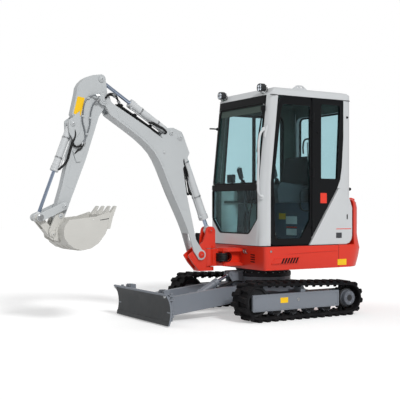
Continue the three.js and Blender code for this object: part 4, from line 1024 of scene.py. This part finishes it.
def make_arm():
    skin("arm", BOOM_WHITE, 4)
    pin_caps("arm_ram_eye_pin", ARM_RAM["eye"], 54, 20, BOOM_WHITE, "arm")
    pin_caps("bucket_ram_pin", BUCKET_RAM["base"], 66, 18, BOOM_WHITE, "arm")
    pin_caps("bucket_pin", BUCKET_PIVOT, 72, 22, BOOM_WHITE, "arm")
    pin_caps("idler_link_pin", IDLER_PIN, 98, 20, BOOM_WHITE, "arm")
    for side, sign in SIDES:
        plate = side_slab(rounded([(2010, 2060, 20), (2132, 1640, 60), (2262, 1300, 30), (2324, 1330, 40),
                                   (2258, 1660, 60), (2216, 1850, 60), (2226, 1966, 20), (2254, 2020, 0),
                                   (2236, 2095, 0), (2211, 2200, 0), (2190, 2286, 50), (2120, 2352, 40),
                                   (2020, 2370, 30), (2010, 2280, 60), (2046, 2180, 60)]),
                          sign * 44.5, sign * 47, 1.2)
        put(plate, f"arm_side_plate_{side}", BOOM_WHITE, "arm")
    pipes = [tube(line, 7, 6) for line in (
        [(2023, 86, 2205), (2062, 66, 2203), (2104, 55, 2181), (2141, 55, 2124), (2155, 55, 2044),
         (2161, 55, 1954), (2141, 55, 1880), (2131, 55, 1804), (2139, 55, 1756)],
        [(2019, 86, 2156), (2041, 66, 2138), (2067, 55, 2074), (2081, 55, 1994), (2087, 55, 1919),
         (2107, 55, 1854), (2131, 55, 1794), (2159, 55, 1749)],
    )]
    put(welded(*pipes), "arm_pipes", PIPE, "arm")
    union = [(-6, 0), (-6, 11), (6, 11), (8, 13), (16, 13), (18, 10), (26, 10), (26, 0)]
    ends = [turned(union, at(*place), Vector(way), 6) for place, way in (
        ((2023, 86, 2205), (-1, 0.3, 0.05)), ((2019, 86, 2156), (-0.8, 0.3, 0.5)),
        ((2140, 55, 1754), (0.3, 0, -1)), ((2160, 55, 1747), (0.5, 0, -1)),
    )]
    put(welded(*ends), "arm_pipe_unions", STEEL, "arm")
    clips = [block(x - 15, x + 15, 45, 64, z - 8, z + 8, 4)
             for x, z in ((2100, 2178), (2157, 2004), (2081, 1989), (2119, 1834))]
    put(welded(*clips), "arm_pipe_clips", BOOM_WHITE, "arm")
    label = rounded([(2134, 2178, 8), (2208, 2190, 8), (2250, 2022, 8), (2177, 2005, 8)])
    put(side_slab(label, 46.8, 48.2, 0.4), "arm_label", YELLOW_FILM, "arm")
    bracket = rounded([(2262, 1671, 6), (2155, 1668, 6), (2180, 1569, 10), (2226, 1562, 10)])
    put(side_slab(bracket, 45, 60, 3), "arm_hose_bracket", BOOM_WHITE, "arm")
    hoses = []
    for k, y in enumerate((50, 34)):
        hoses.append(tube([(2242, y, 1880 - 20 * k), (2236, y + 6, 1820), (2262, y + 8, 1750),
                           (2290, y + 6, 1660), (2318, y, 1570), (2372, y - 6, 1510),
                           (2400, y - 12, 1490)], 9.5))
    put(welded(*hoses), "bucket_ram_hoses", HOSE, "bucket_barrel")
    behind = [tube([(2150, 55, 1744), (2176, 62, 1700), (2214, 60, 1672), (2246, 52, 1640)], 9),
              tube([(2170, 55, 1736), (2206, 62, 1712), (2244, 60, 1716), (2262, 56, 1752)], 9)]
    put(welded(*behind), "arm_hose_tails", HOSE, "arm")
    spacers = [cross_turned(BUCKET_PIVOT, [(y, 24), (y, 44), (y + step, 44), (y + step, 24)], 30)
               for y, step in ((45, 8), (-45, -8))]
    put(welded(*spacers), "bucket_pin_shims", STEEL, "arm")


def make_bucket_and_links():
    skin("bucket", BUCKET_WHITE, 2.5)
    lip = side_slab(rounded([(1926, 1052, 3), (1966, 1060, 3), (1990, 940, 6), (1958, 930, 6)]), -238, 238, 2)
    put(lip, "bucket_lip", BUCKET_WHITE, "bucket")
    slits = [side_slab([(2062, 1012), (2060, 1018), (1952, 1036), (1950, 1029)], sign * 235, sign * 235.8)
             for sign in (1, -1)]
    put(welded(*slits), "bucket_side_slits", IRON, "bucket")
    tooth = rounded([(1884, 1146, 2), (1896, 1150, 2), (1962, 1068, 8), (1980, 1010, 8), (1946, 1000, 8),
                     (1922, 1050, 8)])
    teeth = [side_slab(tooth, y - 30, y + 30, 4) for y in (-200, -67, 67, 200)]
    put(welded(*teeth), "bucket_teeth", BUCKET_WHITE, "bucket")
    curve = smooth_line([(2010, 862), (2090, 786), (2212, 735), (2336, 762), (2408, 850)])
    strap = [*offset_along(curve, -5), *reversed(offset_along(curve, 6))]
    straps = [side_slab(strap, y - 22, y + 22, 1.5) for y in (-120, 0, 120)]
    put(welded(*straps), "bucket_wear_straps", BUCKET_WHITE, "bucket")
    rib = rounded([(2396, 812, 10), (2470, 832, 12), (2440, 940, 30), (2380, 1000, 10)])
    ribs = [side_slab(rib, sign * 76, sign * 84, 2) for sign in (1, -1)]
    put(welded(*ribs), "bucket_ear_ribs", BUCKET_WHITE, "bucket")
    pin_caps("bucket_ear_pin", BUCKET_EAR, 84, 20, BUCKET_WHITE, "bucket")
    for side in ("left", "right"):
        skin(f"idler_link_{side}", BOOM_WHITE, 3)
    skin("push_link", BUCKET_WHITE, 4)
    caps = [cross_turned(LINK_END, [(sign * 93, 0), (sign * 93, 30), (sign * 97, 30), (sign * 101, 22),
                                    (sign * 104, 20), (sign * 104, 0)], 26) for sign in (1, -1)]
    put(welded(*caps), "link_pin_caps", STEEL, "idler_link")


# ------------------------------------------------------------------ swing bracket and nose

def make_swing_bracket():
    skin("swing_bracket", RED, 4)
    pin_caps("boom_foot_pin", BOOM_FOOT, 86, 24, RED, "swing")
    pin_caps("boom_ram_eye_pin", BOOM_RAM["eye"], 66, 18, RED, "swing")
    cap = turned([(0, 0), (0, 52), (6, 52), (10, 48), (10, 34), (16, 32), (18, 28), (18, 0)],
                 at(SWING_X, 0, 740), UP, 32)
    put(cap, "swing_pin_cap", RED, "swing")
    points = [at(SWING_X + 42 * math.cos(a), 42 * math.sin(a), 750) for a in (0.5, 2.6, 4.7)]
    put(bolts(points, (0, 0, 1), 6), "swing_pin_bolts", STEEL, "swing")
    rib = rounded([(836, 560, 10), (900, 580, 10), (960, 650, 16), (930, 668, 6), (880, 610, 16),
                   (836, 590, 6)])
    ribs = [side_slab(rib, sign * 57, sign * 61, 1.5) for sign in (1, -1)]
    put(welded(*ribs), "swing_bracket_ribs", RED, "swing")
    hoses = []
    for k, y in enumerate((-22, 0, 22)):
        hoses.append(tube([(812 + 6 * k, y, 500), (832, y, 600), (842, y * 1.2, 720), (846, y * 1.3, 800),
                           (838, y * 1.3, 868)], 9))
    put(welded(*hoses), "swing_bracket_hoses", HOSE, "swing")


def make_nose():
    hoses = []
    for k in range(5):
        z = 578 + 17 * k
        bulge = 10 * math.sin(math.pi * k / 4)
        hoses.append(tube([(540, 72, z), (546, 104, z), (576, 126 + bulge, z), (610, 122 + bulge, z),
                           (632, 98, z), (638, 56, z)], 11, 7))
    mirrored = []
    for hose in hoses:
        pick(hose)
        bpy.ops.object.duplicate()
        other = bpy.context.object
        other.data.transform(Matrix.Scale(-1, 4, LEFT))
        edit(other)
        bpy.ops.mesh.normals_make_consistent(inside=False)
        leave()
        mirrored.append(other)
    put(welded(*hoses, *mirrored), "nose_hoses", HOSE, "house")
    rings = [cross_turned((535, 612), [(sign * 106, 40), (sign * 106, 50), (sign * 111, 50), (sign * 113, 47),
                                       (sign * 113, 40)], 36) for sign in (1, -1)]
    put(welded(*rings), "nose_grommets", SEAL, "house")
    top = turned([(0, 32), (0, 58), (5, 58), (7, 54), (7, 32)], at(SWING_X, 0, 701), UP, 32)
    put(top, "nose_thrust_washer", STEEL, "house")
    flange = plan_slab(rounded([(374, -140, 10), (560, -118, 20), (612, -56, 20), (612, 56, 20),
                                (560, 118, 20), (374, 140, 10)]), 702, 708, 1.5)
    put(flange, "nose_top_plate", RED, "house")


# ------------------------------------------------------------------ house

HOUSE_SIDE = 549
COVER_FACE = 536
HOOD_BULGE = 26
HOOD_HALF = 340


def make_house():
    skin("upper_frame", RED, 6, segments=3)
    skin("counterweight", RED, 10, segments=3)
    skin("engine_hood", RED, 8, segments=3)
    skin("side_cover_right", RED, 8, segments=3)
    skin("side_cover_left", WHITE, 6, segments=3)
    refinish("engine", IRON)
    for side, sign in SIDES:
        field = side_slab(rounded([(292, 556, 6), (250, 610, 6), (-62, 616, 6), (-40, 556, 6)]),
                          sign * HOUSE_SIDE, sign * 551, 0.8)
        put(field, f"louvre_field_{side}", BLACK, "house")
        slats = [side_slab(rounded([(x, 558, 2), (x - 12, 558, 2), (x - 42, 612, 2), (x - 30, 612, 2)]),
                           sign * HOUSE_SIDE, sign * 556, 2) for x in range(262, -62, -36)]
        solid = side_slab(rounded([(290, 558, 4), (256, 608, 4), (150, 611, 4), (176, 558, 4)]),
                          sign * HOUSE_SIDE, sign * 555, 2)
        put(welded(*slats, solid), f"louvre_slats_{side}", RED, "house")
        rim = side_frame(rounded([(304, 550, 8), (254, 616, 8), (-72, 622, 8), (-48, 550, 8)]), 7,
                         sign * 548.5, sign * 557, 2)
        put(rim, f"louvre_rim_{side}", RED, "house")
        crease = [(130, 652), (-440, 676), (-590, 676), (-590, 668), (-440, 664)]
        put(side_slab(crease, sign * 548, sign * 555, 3), f"house_crease_{side}", RED, "house")
        skirt = rectangle(-770, 368, 491, 502)
        put(side_slab(skirt, sign * 548, sign * 553, 2), f"house_skirt_{side}", RED, "house")
        seam = rectangle(-601.5, -598, 492, 731)
        put(side_slab(seam, sign * HOUSE_SIDE, sign * 550.6), f"house_seam_{side}", SEAL, "house")
        label = side_slab(rectangle(-708, -584, 514, 578, 5), sign * 550, sign * 551.4, 0.4)
        put(label, f"tail_label_{side}", YELLOW_FILM, "house")
        plug = turned([(0, 0), (0, 12), (5, 12), (7, 9), (7, 0)], at(303, sign * HOUSE_SIDE, 684),
                      Vector((0, sign, 0)), 20)
        put(plug, f"house_plug_{side}", STEEL, "house")
    slots = []
    for z in range(566, 662, 24):
        for _, sign in SIDES:
            slot = rounded([(sign * 292, z, 5), (sign * 368, z - 3, 5), (sign * 368, z + 8, 5),
                            (sign * 292, z + 11, 5)])
            slots.append(front_slab(slot, 370.5, 374))
    put(welded(*slots), "front_grille_slots", BLACK, "house")
    hooks = [tube([(372, y - 12, 690), (388, y - 10, 688), (392, y, 676), (388, y + 4, 660),
                   (374, y + 6, 650)], 5) for y in (190, 226)]
    put(welded(*hooks), "front_hose_hooks", STEEL, "house")
    deck = rounded([(368, -546, 36), (368, 546, 36), (-598, 546, 0), (-598, -546, 0)])
    put(plan_slab(deck, 731.5, 735, 1), "deck_seal", SEAL, "house")
    for name, outline, reach, edge, finish in (
        ("lock", rectangle(-739, -724, 1004, 1058, 7), 538.5, 0.6, BLACK),
        ("label", rectangle(-655, -575, 804, 862, 4), 537.2, 0.4, DARK_FILM),
        ("stripe", rectangle(-790, -575, 898, 906, 4), 537, 0.3, RED_FILM),
    ):
        put(side_slab(outline, COVER_FACE, reach, edge), f"side_cover_{name}", finish, "house")
    louvres = [side_slab(rectangle(-700, -380, z, z + 15, 5), -547, -550.5, 1) for z in range(800, 1038, 34)]
    put(welded(*louvres), "right_cover_louvres", BLACK, "house")
    cap = turned([(0, 0), (0, 46), (14, 46), (20, 42), (22, 30), (22, 0)], at(160, -547, 930), -LEFT, 36)
    grip = block(150, 170, -584, -566, 892, 968, 5)
    put(welded(cap, grip), "fuel_cap", BLACK, "house")
    latch = welded(front_slab(rectangle(-60, 60, 850, 886, 10), -1066, -1054, 3),
                   front_slab(rectangle(-44, 44, 858, 878, 8), -1070, -1062, 2))
    put(latch, "hood_latch", BLACK, "hood")
    vents = [front_slab(rectangle(sign * 120, sign * 330, z, z + 13, 4), -1034, -1031)
             for sign in (1, -1) for z in range(930, 1122, 32)]
    for vent in vents:
        for vertex in vent.data.vertices:
            vertex.co.x -= HOOD_BULGE * (1 - (vertex.co.y / MM / HOOD_HALF) ** 2) * MM
    put(welded(*vents), "hood_vents", BLACK, "hood")
    exhaust = [(-930, -300, 1180), (-940, -300, 1230), (-990, -300, 1246), (-1012, -300, 1246)]
    put(tube(exhaust, 20, 6, 4), "exhaust_outlet", IRON, "house")


# ------------------------------------------------------------------ cab

CAB_INSIDE = ((-772, 368), (-424, 484), (748, 2340))
CAB_MIDDLE = Vector((-200, 30, 1560))
SILL = 1340
SILL_X = 379
WINDSCREEN_LEAN = (400 - 300) / (2288 - SILL)
BORDER_FOOT, BORDER_HEAD = 862, 2196
BORDER_RIGHT, BORDER_LEFT, BORDER_OUTSIDE = -404, 440, 458


def inside_cab(centre, normal):
    """Whether a face lies within the cab and looks towards its middle."""
    within = all(low < value < high for value, (low, high) in zip(centre, CAB_INSIDE))
    return within and normal.dot(CAB_MIDDLE - Vector(centre)) > 0


def on_windscreen(y, z, out=0):
    """A point of the leaning upper windscreen, moved out from it."""
    return at(SILL_X - WINDSCREEN_LEAN * (z - SILL) + out, y, z)


def make_glass_frames():
    quarter = rounded([(-618, 1426, 22), (-366, 1426, 22), (-366, 2242, 32), (-658, 2242, 42)])
    put(side_frame(quarter, 14, 505, 522, 3), "quarter_window_seal", SEAL, "house")
    right = rounded([(-606, 1364, 52), (246, 1364, 52), (176, 2186, 62), (-606, 2186, 62)])
    put(side_frame(right, 24, -462, -448, 3), "right_window_seal", SEAL, "house")
    put(side_frame(right, 24, -440, -414, 3), "right_window_lining", SEAL, "house")
    sash = side_slab(rectangle(-222, -178, 1372, 2178, 4), -453, -438, 3)
    put(sash, "right_window_sash", BLACK, "house")
    rear = rectangle(-386, 446, 1424, 2186, 64)
    put(front_frame(rear, 24, -829, -811, 3), "rear_window_seal", SEAL, "house")
    upper = rounded([(-404, 1368, 44), (444, 1368, 44), (444, 2216, 54), (-404, 2216, 54)])
    put(frame_of([on_windscreen(y, z, 1) for y, z in upper], 24, Vector((0.012, 0, 0.0012)), 3),
        "windscreen_upper_seal", SEAL, "house")
    band = [on_windscreen(y, z, 0.6) for y, z in ((-376, 2120), (416, 2120), (416, 2190), (-376, 2190))]
    put(slab(band, Vector((0.001, 0, 0)), 0), "windscreen_shade_band", DARK_TRIM, "house")
    lower = rounded([(-404, 1322, 24), (444, 1322, 24), (444, 1008, 62), (298, 854, 72), (-252, 854, 72),
                     (-404, 1008, 62)], 7)
    put(front_frame(lower, 14, 376, 402, 4), "windscreen_lower_seal", SEAL, "house")
    rail = front_slab(rectangle(-402, 442, 1320, 1374, 8), 368, 404, 4)
    put(rail, "windscreen_rail", BLACK, "house")
    latches = [block(352, 372, y - 26, y + 26, 1386, 1410, 5) for y in (-330, 370)]
    put(welded(*latches), "windscreen_latches", BLACK, "house")


def paint_windscreen_border(front):
    """The black border round the windscreen, painted on the front frame's outer faces."""
    cuts = [(at(0, 0, z), UP) for z in (BORDER_FOOT, BORDER_HEAD)]
    cuts += [(at(0, y, 0), LEFT) for y in (BORDER_RIGHT, BORDER_LEFT, BORDER_OUTSIDE)]
    for point, way in cuts:
        edit(front)
        bpy.ops.mesh.bisect(plane_co=point, plane_no=way)
        leave()
    front.data.materials.append(BLACK)
    for face in front.data.polygons:
        x, y, z = from_frame(face.center)
        right = y < BORDER_RIGHT and z > BORDER_FOOT
        top = z > BORDER_HEAD and y < BORDER_OUTSIDE
        left = BORDER_LEFT < y < BORDER_OUTSIDE and z > SILL
        if (right or top or left) and face.material_index == 0 and face.normal.x > 0.2 and x > 200:
            face.material_index = 2


def make_cab():
    paint_windscreen_border(skin("cab_front_frame", WHITE, 9, DARK_TRIM, inside_cab, 3))
    skin("cab_rear_frame", WHITE, 9, DARK_TRIM, inside_cab, 3)
    skin("cab_quarter_panel", BLACK, 4, DARK_TRIM, inside_cab)
    wall = skin("cab_right_wall", WHITE, 6, DARK_TRIM, inside_cab, 3)
    wall.data.materials.append(TRIM)
    for face in wall.data.polygons:
        x, y, z = from_frame(face.center)
        if face.material_index == 1 and (z < 1365 or x > 180):
            face.material_index = 2
    skin("cab_roof", WHITE, 10, DARK_TRIM, inside_cab, 3)
    for node in ("windscreen_upper", "windscreen_lower", "quarter_window", "right_window", "rear_window",
                 "door_glass"):
        refinish(node, GLASS)
    make_glass_frames()
    gutter = side_slab(rectangle(-780, 290, 2282, 2290, 3), 516, 521, 1)
    put(gutter, "roof_gutter_left", SEAL, "house")
    rail = tube([(356, 506, 1926), (396, 512, 1900), (420, 512, 1850), (432, 512, 1600), (438, 512, 1340),
                 (424, 510, 1264), (386, 504, 1240)], 12, 7, 4)
    put(rail, "pillar_handrail", WHITE, "house")
    flange = [(0, 0), (0, 26), (7, 26), (10, 22), (12, 15), (12, 0)]
    feet = [turned(flange, at(x, 496, z), Vector((0.45, 0.9, tilt)), 24)
            for x, z, tilt in ((352, 1926, 0.2), (384, 1238, 0.1))]
    put(welded(*feet), "pillar_handrail_feet", WHITE, "house")
    gusset = rounded([(316, 1990, 8), (350, 1950, 8), (372, 1850, 8), (352, 1840, 8), (322, 1940, 8)])
    put(side_slab(gusset, 505, 523, 4), "pillar_gusset", WHITE, "house")
    stops = []
    for x, z, r in ((-741, 2106, 13), (-330, 1924, 9)):
        profile = [(0, 0), (0, r), (10, r), (13, r - 2), (18, r - 3), (20, r - 6), (20, 0)]
        stops.append(turned(profile, at(x, 512, z), LEFT, 20))
    put(welded(*stops), "door_stops", SEAL, "house")
    bumper = turned([(0, 0), (0, 15), (10, 15), (16, 18), (30, 16), (34, 10), (34, 0)], at(-823, 450, 1333),
                    Vector((-1, 0, 0)), 22)
    put(bumper, "rear_bumper_stop", SEAL, "house")
    label = side_slab(rectangle(-458, -370, 1178, 1286, 4), 520, 521.2, 0.4)
    put(label, "quarter_panel_label", RED_FILM, "house")
    stub = tube([(290, -436, 2006), (336, -474, 2012), (356, -520, 2016)], 8)
    foot = turned([(0, 0), (0, 16), (12, 16), (18, 12), (18, 0)], at(300, -440, 2007), AHEAD - LEFT, 20)
    put(welded(stub, foot), "mirror_stub", BLACK, "house")
    arm = tube([(330, 452, 2150), (338, 440, 2080), (356, 430, 1960), (372, 424, 1840), (384, 418, 1700)], 6)
    blade = tube([(330, 428, 2060), (356, 424, 1880), (382, 420, 1580)], 5, 6, 2)
    motor = block(312, 348, 428, 474, 2120, 2176, 8)
    put(welded(arm, blade, motor), "wiper", BLACK, "house")
    for side, y in (("left", 375), ("right", -365)):
        make_work_lamp(side, y)
    eyes = []
    hoop = rounded([(-250, 2376, 0), (-190, 2419, 34), (-112, 2419, 34), (-52, 2376, 0)], 6)
    for y in (440, -400):
        eyes.append(side_frame(hoop, 15, y - 7, y + 7, 2.5))
        eyes.append(block(-244, -58, y - 13, y + 13, 2372, 2380, 3))
    put(welded(*eyes), "roof_lifting_eyes", WHITE, "house")
    ribs = [plan_slab(rectangle(-640, 60, y - 14, y + 14, 13), 2375, 2379, 2) for y in (-250, -90, 90, 250)]
    put(welded(*ribs), "roof_ribs", WHITE, "house")


def make_work_lamp(side, y):
    shell = front_slab(rectangle(y - 45, y + 45, 2329, 2413, 36), 270, 316, 6, 3)
    back = front_slab(rectangle(y - 36, y + 36, 2338, 2404, 28), 258, 272, 5, 3)
    fins = [front_slab(rectangle(y - 30, y + 30, z, z + 4, 1.5), 250, 262, 1)
            for z in (2348, 2360, 2372, 2384, 2394)]
    bezel = front_frame(rectangle(y - 44, y + 44, 2330, 2412, 35), 8, 314, 325, 2)
    housing = welded(shell, back, *fins, bezel)
    put(housing, f"work_lamp_{side}_housing", LAMP_BLACK, "house")
    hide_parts(f"work_lamp_{side}")
    bowl = [(0, 0), (0, 3), (5, 12), (5, 15), (0, 16), (-2, 15), (-2, 0)]
    bowls = [turned(bowl, at(316, y + shift, z), AHEAD, 20) for z in (2354, 2388) for shift in (-18, 18)]
    put(welded(*bowls), f"work_lamp_{side}_reflectors", REFLECTOR, "house")
    lens = front_slab(rectangle(y - 36, y + 36, 2338, 2404, 27), 321.5, 324, 0.8)
    put(lens, f"work_lamp_{side}_lens", LENS, "house")
    yoke = tube([(262, y - 50, 2372), (262, y - 52, 2336), (262, y - 34, 2320), (262, y + 34, 2320),
                 (262, y + 52, 2336), (262, y + 50, 2372)], 4.5, 5, 2)
    put(yoke, f"work_lamp_{side}_yoke", BLACK, "house")
    cable = tube([(256, y, 2350), (236, y + 4, 2344), (214, y + 8, 2352), (190, y + 10, 2366)], 3.5, 5, 2)
    put(cable, f"work_lamp_{side}_lead", HOSE, "house")


# ------------------------------------------------------------------ door

def make_door():
    skin("door", BLACK, 7, DARK_TRIM, inside_cab, 3)
    seal = rounded([(-114, 800, 42), (236, 800, 54), (255, 1381, 62), (154, 2211, 64), (-240, 2211, 44),
                    (-240, 999, 62)])
    put(side_frame(seal, 10, 506, 522.5, 2.5), "door_glass_seal", SEAL, "door")
    hinges = []
    for z in (960, 1500, 2080):
        barrel = [(0, 0), (0, 13), (3, 15), (87, 15), (90, 13), (90, 0)]
        hinges.append(turned(barrel, at(-262, 524, z - 45), UP, 20))
        hinges.append(block(-250, -214, 518, 526, z - 34, z + 34, 3))
    put(welded(*hinges), "door_hinges", BLACK, "door")
    case = side_slab(rectangle(240, 276, 1130, 1262, 12), 518, 530, 4)
    lever = side_slab(rectangle(248, 270, 1146, 1222, 8), 529, 540, 4)
    lock = turned([(0, 0), (0, 9), (5, 9), (6, 6), (6, 0)], at(258, 529, 1244), LEFT, 18)
    put(welded(case, lever, lock), "door_handle", BLACK, "door")
    pull = tube([(-238, 484, 1322), (-182, 474, 1322), (-146, 470, 1296), (-142, 470, 1200),
                 (-144, 470, 1128), (-180, 472, 1102), (-238, 482, 1098)], 9, 6)
    put(pull, "door_pull", BLACK, "door")
    foot = [(0, 0), (0, 14), (6, 14), (8, 10), (8, 0)]
    feet = [turned(foot, at(-240, 486, z), Vector((0.3, -1, 0)), 20) for z in (1322, 1098)]
    put(welded(*feet), "door_pull_feet", BLACK, "door")


# ------------------------------------------------------------------ inside the cab

SEAM_DEPTH = 7
SEAM_WIDTH = 0.055
SEAMS = (-0.52, 0.52)


def cushion(length, width, height, crown, channels):
    """A stuffed pad lying at the origin, crowned, with sewn channels along it and pulled-in sides."""
    bpy.ops.mesh.primitive_cube_add(size=1, scale=(length * MM, width * MM, height * MM))
    bpy.ops.object.transform_apply(location=False, rotation=False, scale=True)
    obj = bpy.context.object
    edge = obj.modifiers.new("edge", "BEVEL")
    edge.width = min(length, width, height) * 0.34 * MM
    edge.segments = 4
    bpy.ops.object.modifier_apply(modifier="edge")
    edit(obj)
    bpy.ops.mesh.subdivide(number_cuts=5)
    leave()
    half = Vector((length, width, height)) * MM / 2
    for vertex in obj.data.vertices:
        u, v, w = (vertex.co[i] / half[i] for i in range(3))
        swell = (1 - u * u) * (1 - v * v)
        vertex.co.z += w * crown * MM * swell
        vertex.co.x -= 0.03 * u * half.x * (1 - v * v) * (1 - w * w)
        vertex.co.y -= 0.03 * v * half.y * (1 - u * u) * (1 - w * w)
        if w > 0.5:
            for channel in channels:
                pull = math.exp(-(((v - channel) / SEAM_WIDTH) ** 2)) * min(1, 3 * swell)
                vertex.co.z -= SEAM_DEPTH * MM * pull
    smooth = obj.modifiers.new("smooth", "SUBSURF")
    smooth.levels = smooth.render_levels = 1
    bpy.ops.object.modifier_apply(modifier="smooth")
    bpy.ops.object.shade_smooth()
    return obj


def make_seat():
    cushion_pad = cushion(500, 430, 118, 14, SEAMS)
    tip = Matrix.Rotation(math.radians(-4), 4, "Y")
    cushion_pad.data.transform(Matrix.Translation(at(-190, 30, 1272)) @ tip)
    put(cushion_pad, "seat_cushion", VINYL, "house")
    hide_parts("seat")
    back_pad = cushion(420, 410, 108, 14, SEAMS)
    upright = Matrix.Rotation(math.radians(82), 4, "Y")
    back_pad.data.transform(Matrix.Translation(at(-440, 30, 1486)) @ upright)
    put(back_pad, "seat_back", VINYL, "house")
    frame_bar = tube([(-512, -150, 1330), (-520, -150, 1500), (-528, -120, 1650), (-530, 30, 1676),
                      (-528, 180, 1650), (-520, 210, 1500), (-512, 210, 1330)], 11, 6, 3)
    put(frame_bar, "seat_frame", BLACK, "house")
    slide = block(-420, 20, -150, 210, 1187, 1214, 5)
    put(slide, "seat_slide", CONSOLE, "house")
    buckle = rounded([(-400, 1220, 6), (-340, 1220, 6), (-340, 1340, 10), (-376, 1340, 10)])
    put(side_slab(buckle, 262, 272, 3), "seat_belt_buckle", BLACK, "house")


def bellows(x, y, z, radius, height):
    """A lever's folded rubber boot."""
    profile = [(0, 0), (0, radius + 6), (5, radius + 6), (7, radius)]
    folds = 5
    for k in range(folds):
        size = radius * (1 - 0.55 * (k + 1) / folds)
        along = 8 + height * (k + 0.5) / folds
        profile += [(along, size + 5), (along + height * 0.4 / folds, size - 2)]
    profile += [(height + 10, radius * 0.4), (height + 10, 0)]
    return turned(profile, at(x, y, z), Vector((0.12, 0, 1)), 24)


def make_controls():
    skin("control_consoles", CONSOLE, 8, segments=3)
    skin("travel_levers", BLACK, 4)
    skin("seat_platform", BASE_BLUE, 5)
    skin("cab_floor", DARK_TRIM, 3)
    for side, y in (("left", 337), ("right", -280)):
        boot = bellows(64, y, 1384, 34, 46)
        put(boot, f"joystick_{side}_boot", SEAL, "house")
        grip = turned([(0, 0), (0, 14), (14, 20), (40, 24), (70, 27), (96, 30), (116, 29), (128, 22),
                       (132, 10), (132, 0)], at(90, y, 1442), Vector((0.25, 0, 1)), 24)
        put(grip, f"joystick_{side}_grip", CONSOLE, "house")
        knob = turned([(0, 0), (0, 10), (6, 14), (14, 14), (20, 9), (21, 0)], at(122, y, 1566),
                      Vector((0.25, 0, 1)), 20)
        put(knob, f"joystick_{side}_knob", KNOB, "house")
        pad = cushion(230, 66, 34, 5, ())
        pad.data.transform(Matrix.Translation(at(-270, y, 1362)))
        put(pad, f"armrest_{side}", VINYL, "house")
    monitor = front_slab(rectangle(-398, -268, 1404, 1498, 14), 176, 206, 5)
    stalk = tube([(150, -334, 1330), (170, -334, 1380), (188, -334, 1420)], 13, 5, 3)
    put(welded(monitor, stalk), "monitor", CONSOLE, "house")
    screen = front_slab(rectangle(-386, -280, 1418, 1486, 6), 174.5, 176.5, 0.5)
    put(screen, "monitor_screen", BLACK, "house")
    for name, finish, outline in (
        ("base_plate_yellow", YELLOW_FILM, rectangle(-110, 8, 1000, 1066, 5)),
        ("base_plate_white", WHITE_FILM, rectangle(16, 210, 950, 1034, 5)),
        ("base_plate_stripe", RED_FILM, rectangle(24, 206, 908, 922, 3)),
        ("base_plate_lower", WHITE_FILM, rectangle(24, 206, 828, 898, 5)),
    ):
        put(front_slab(outline, -304, -302.4, 0.4), name, finish, "house")
    knobs = [turned([(0, 0), (0, 15), (6, 17), (20, 17), (26, 10), (26, 0)], at(-304, y, z), AHEAD, 20)
             for y, z in ((-180, 830), (330, 870))]
    put(welded(*knobs), "base_knobs", KNOB, "house")
    ribs = [block(-290, 196, y - 7, y + 7, 764, 770, 2) for y in range(-330, 420, 46)]
    put(welded(*ribs), "floor_mat_ribs", SEAL, "house")
    grab = [(-196, 448, 1700), (-192, 450, 1790), (-214, 450, 1846), (-262, 450, 1858), (-300, 450, 1852)]
    put(tube(grab, 9, 6), "grab_bar", BLACK, "house")
    post = tube([(-248, 452, 1820), (-252, 452, 1700), (-262, 452, 1640), (-280, 450, 1580)], 6, 6)
    put(post, "gas_strut", STEEL, "house")
    column = rounded([(-180, 780, 10), (40, 780, 10), (40, 1060, 20), (-40, 1178, 30), (-150, 1178, 30)])
    put(front_slab(column, 196, 226, 6), "lever_column", CONSOLE, "house")
    lining = rounded([(-290, 780, 10), (270, 780, 10), (270, SILL, 20), (-290, SILL, 20)])
    put(side_slab(lining, -417, -405, 5), "right_wall_lining", TRIM, "house")
    shelf = side_slab(rectangle(-240, 240, 1180, 1206, 8), -406, -372, 4)
    put(shelf, "right_wall_shelf", DARK_TRIM, "house")


# ------------------------------------------------------------------ the whole machine

bpy.ops.object.select_all(action="DESELECT")
set_up_camera()
set_up_floor()
set_up_light()
make_undercarriage()
make_blade()
for ram_name, ram, ram_finish, ports in (
    ("boom", BOOM_RAM, WHITE, 1), ("arm", ARM_RAM, WHITE, -1), ("bucket", BUCKET_RAM, WHITE, -1),
    ("blade", BLADE_RAM, GREY, 1),
):
    make_ram(ram_name, ram, ram_finish, ports)
make_boom()
make_arm()
make_bucket_and_links()
make_swing_bracket()
make_nose()
make_house()
make_cab()
make_door()
make_seat()
make_controls()
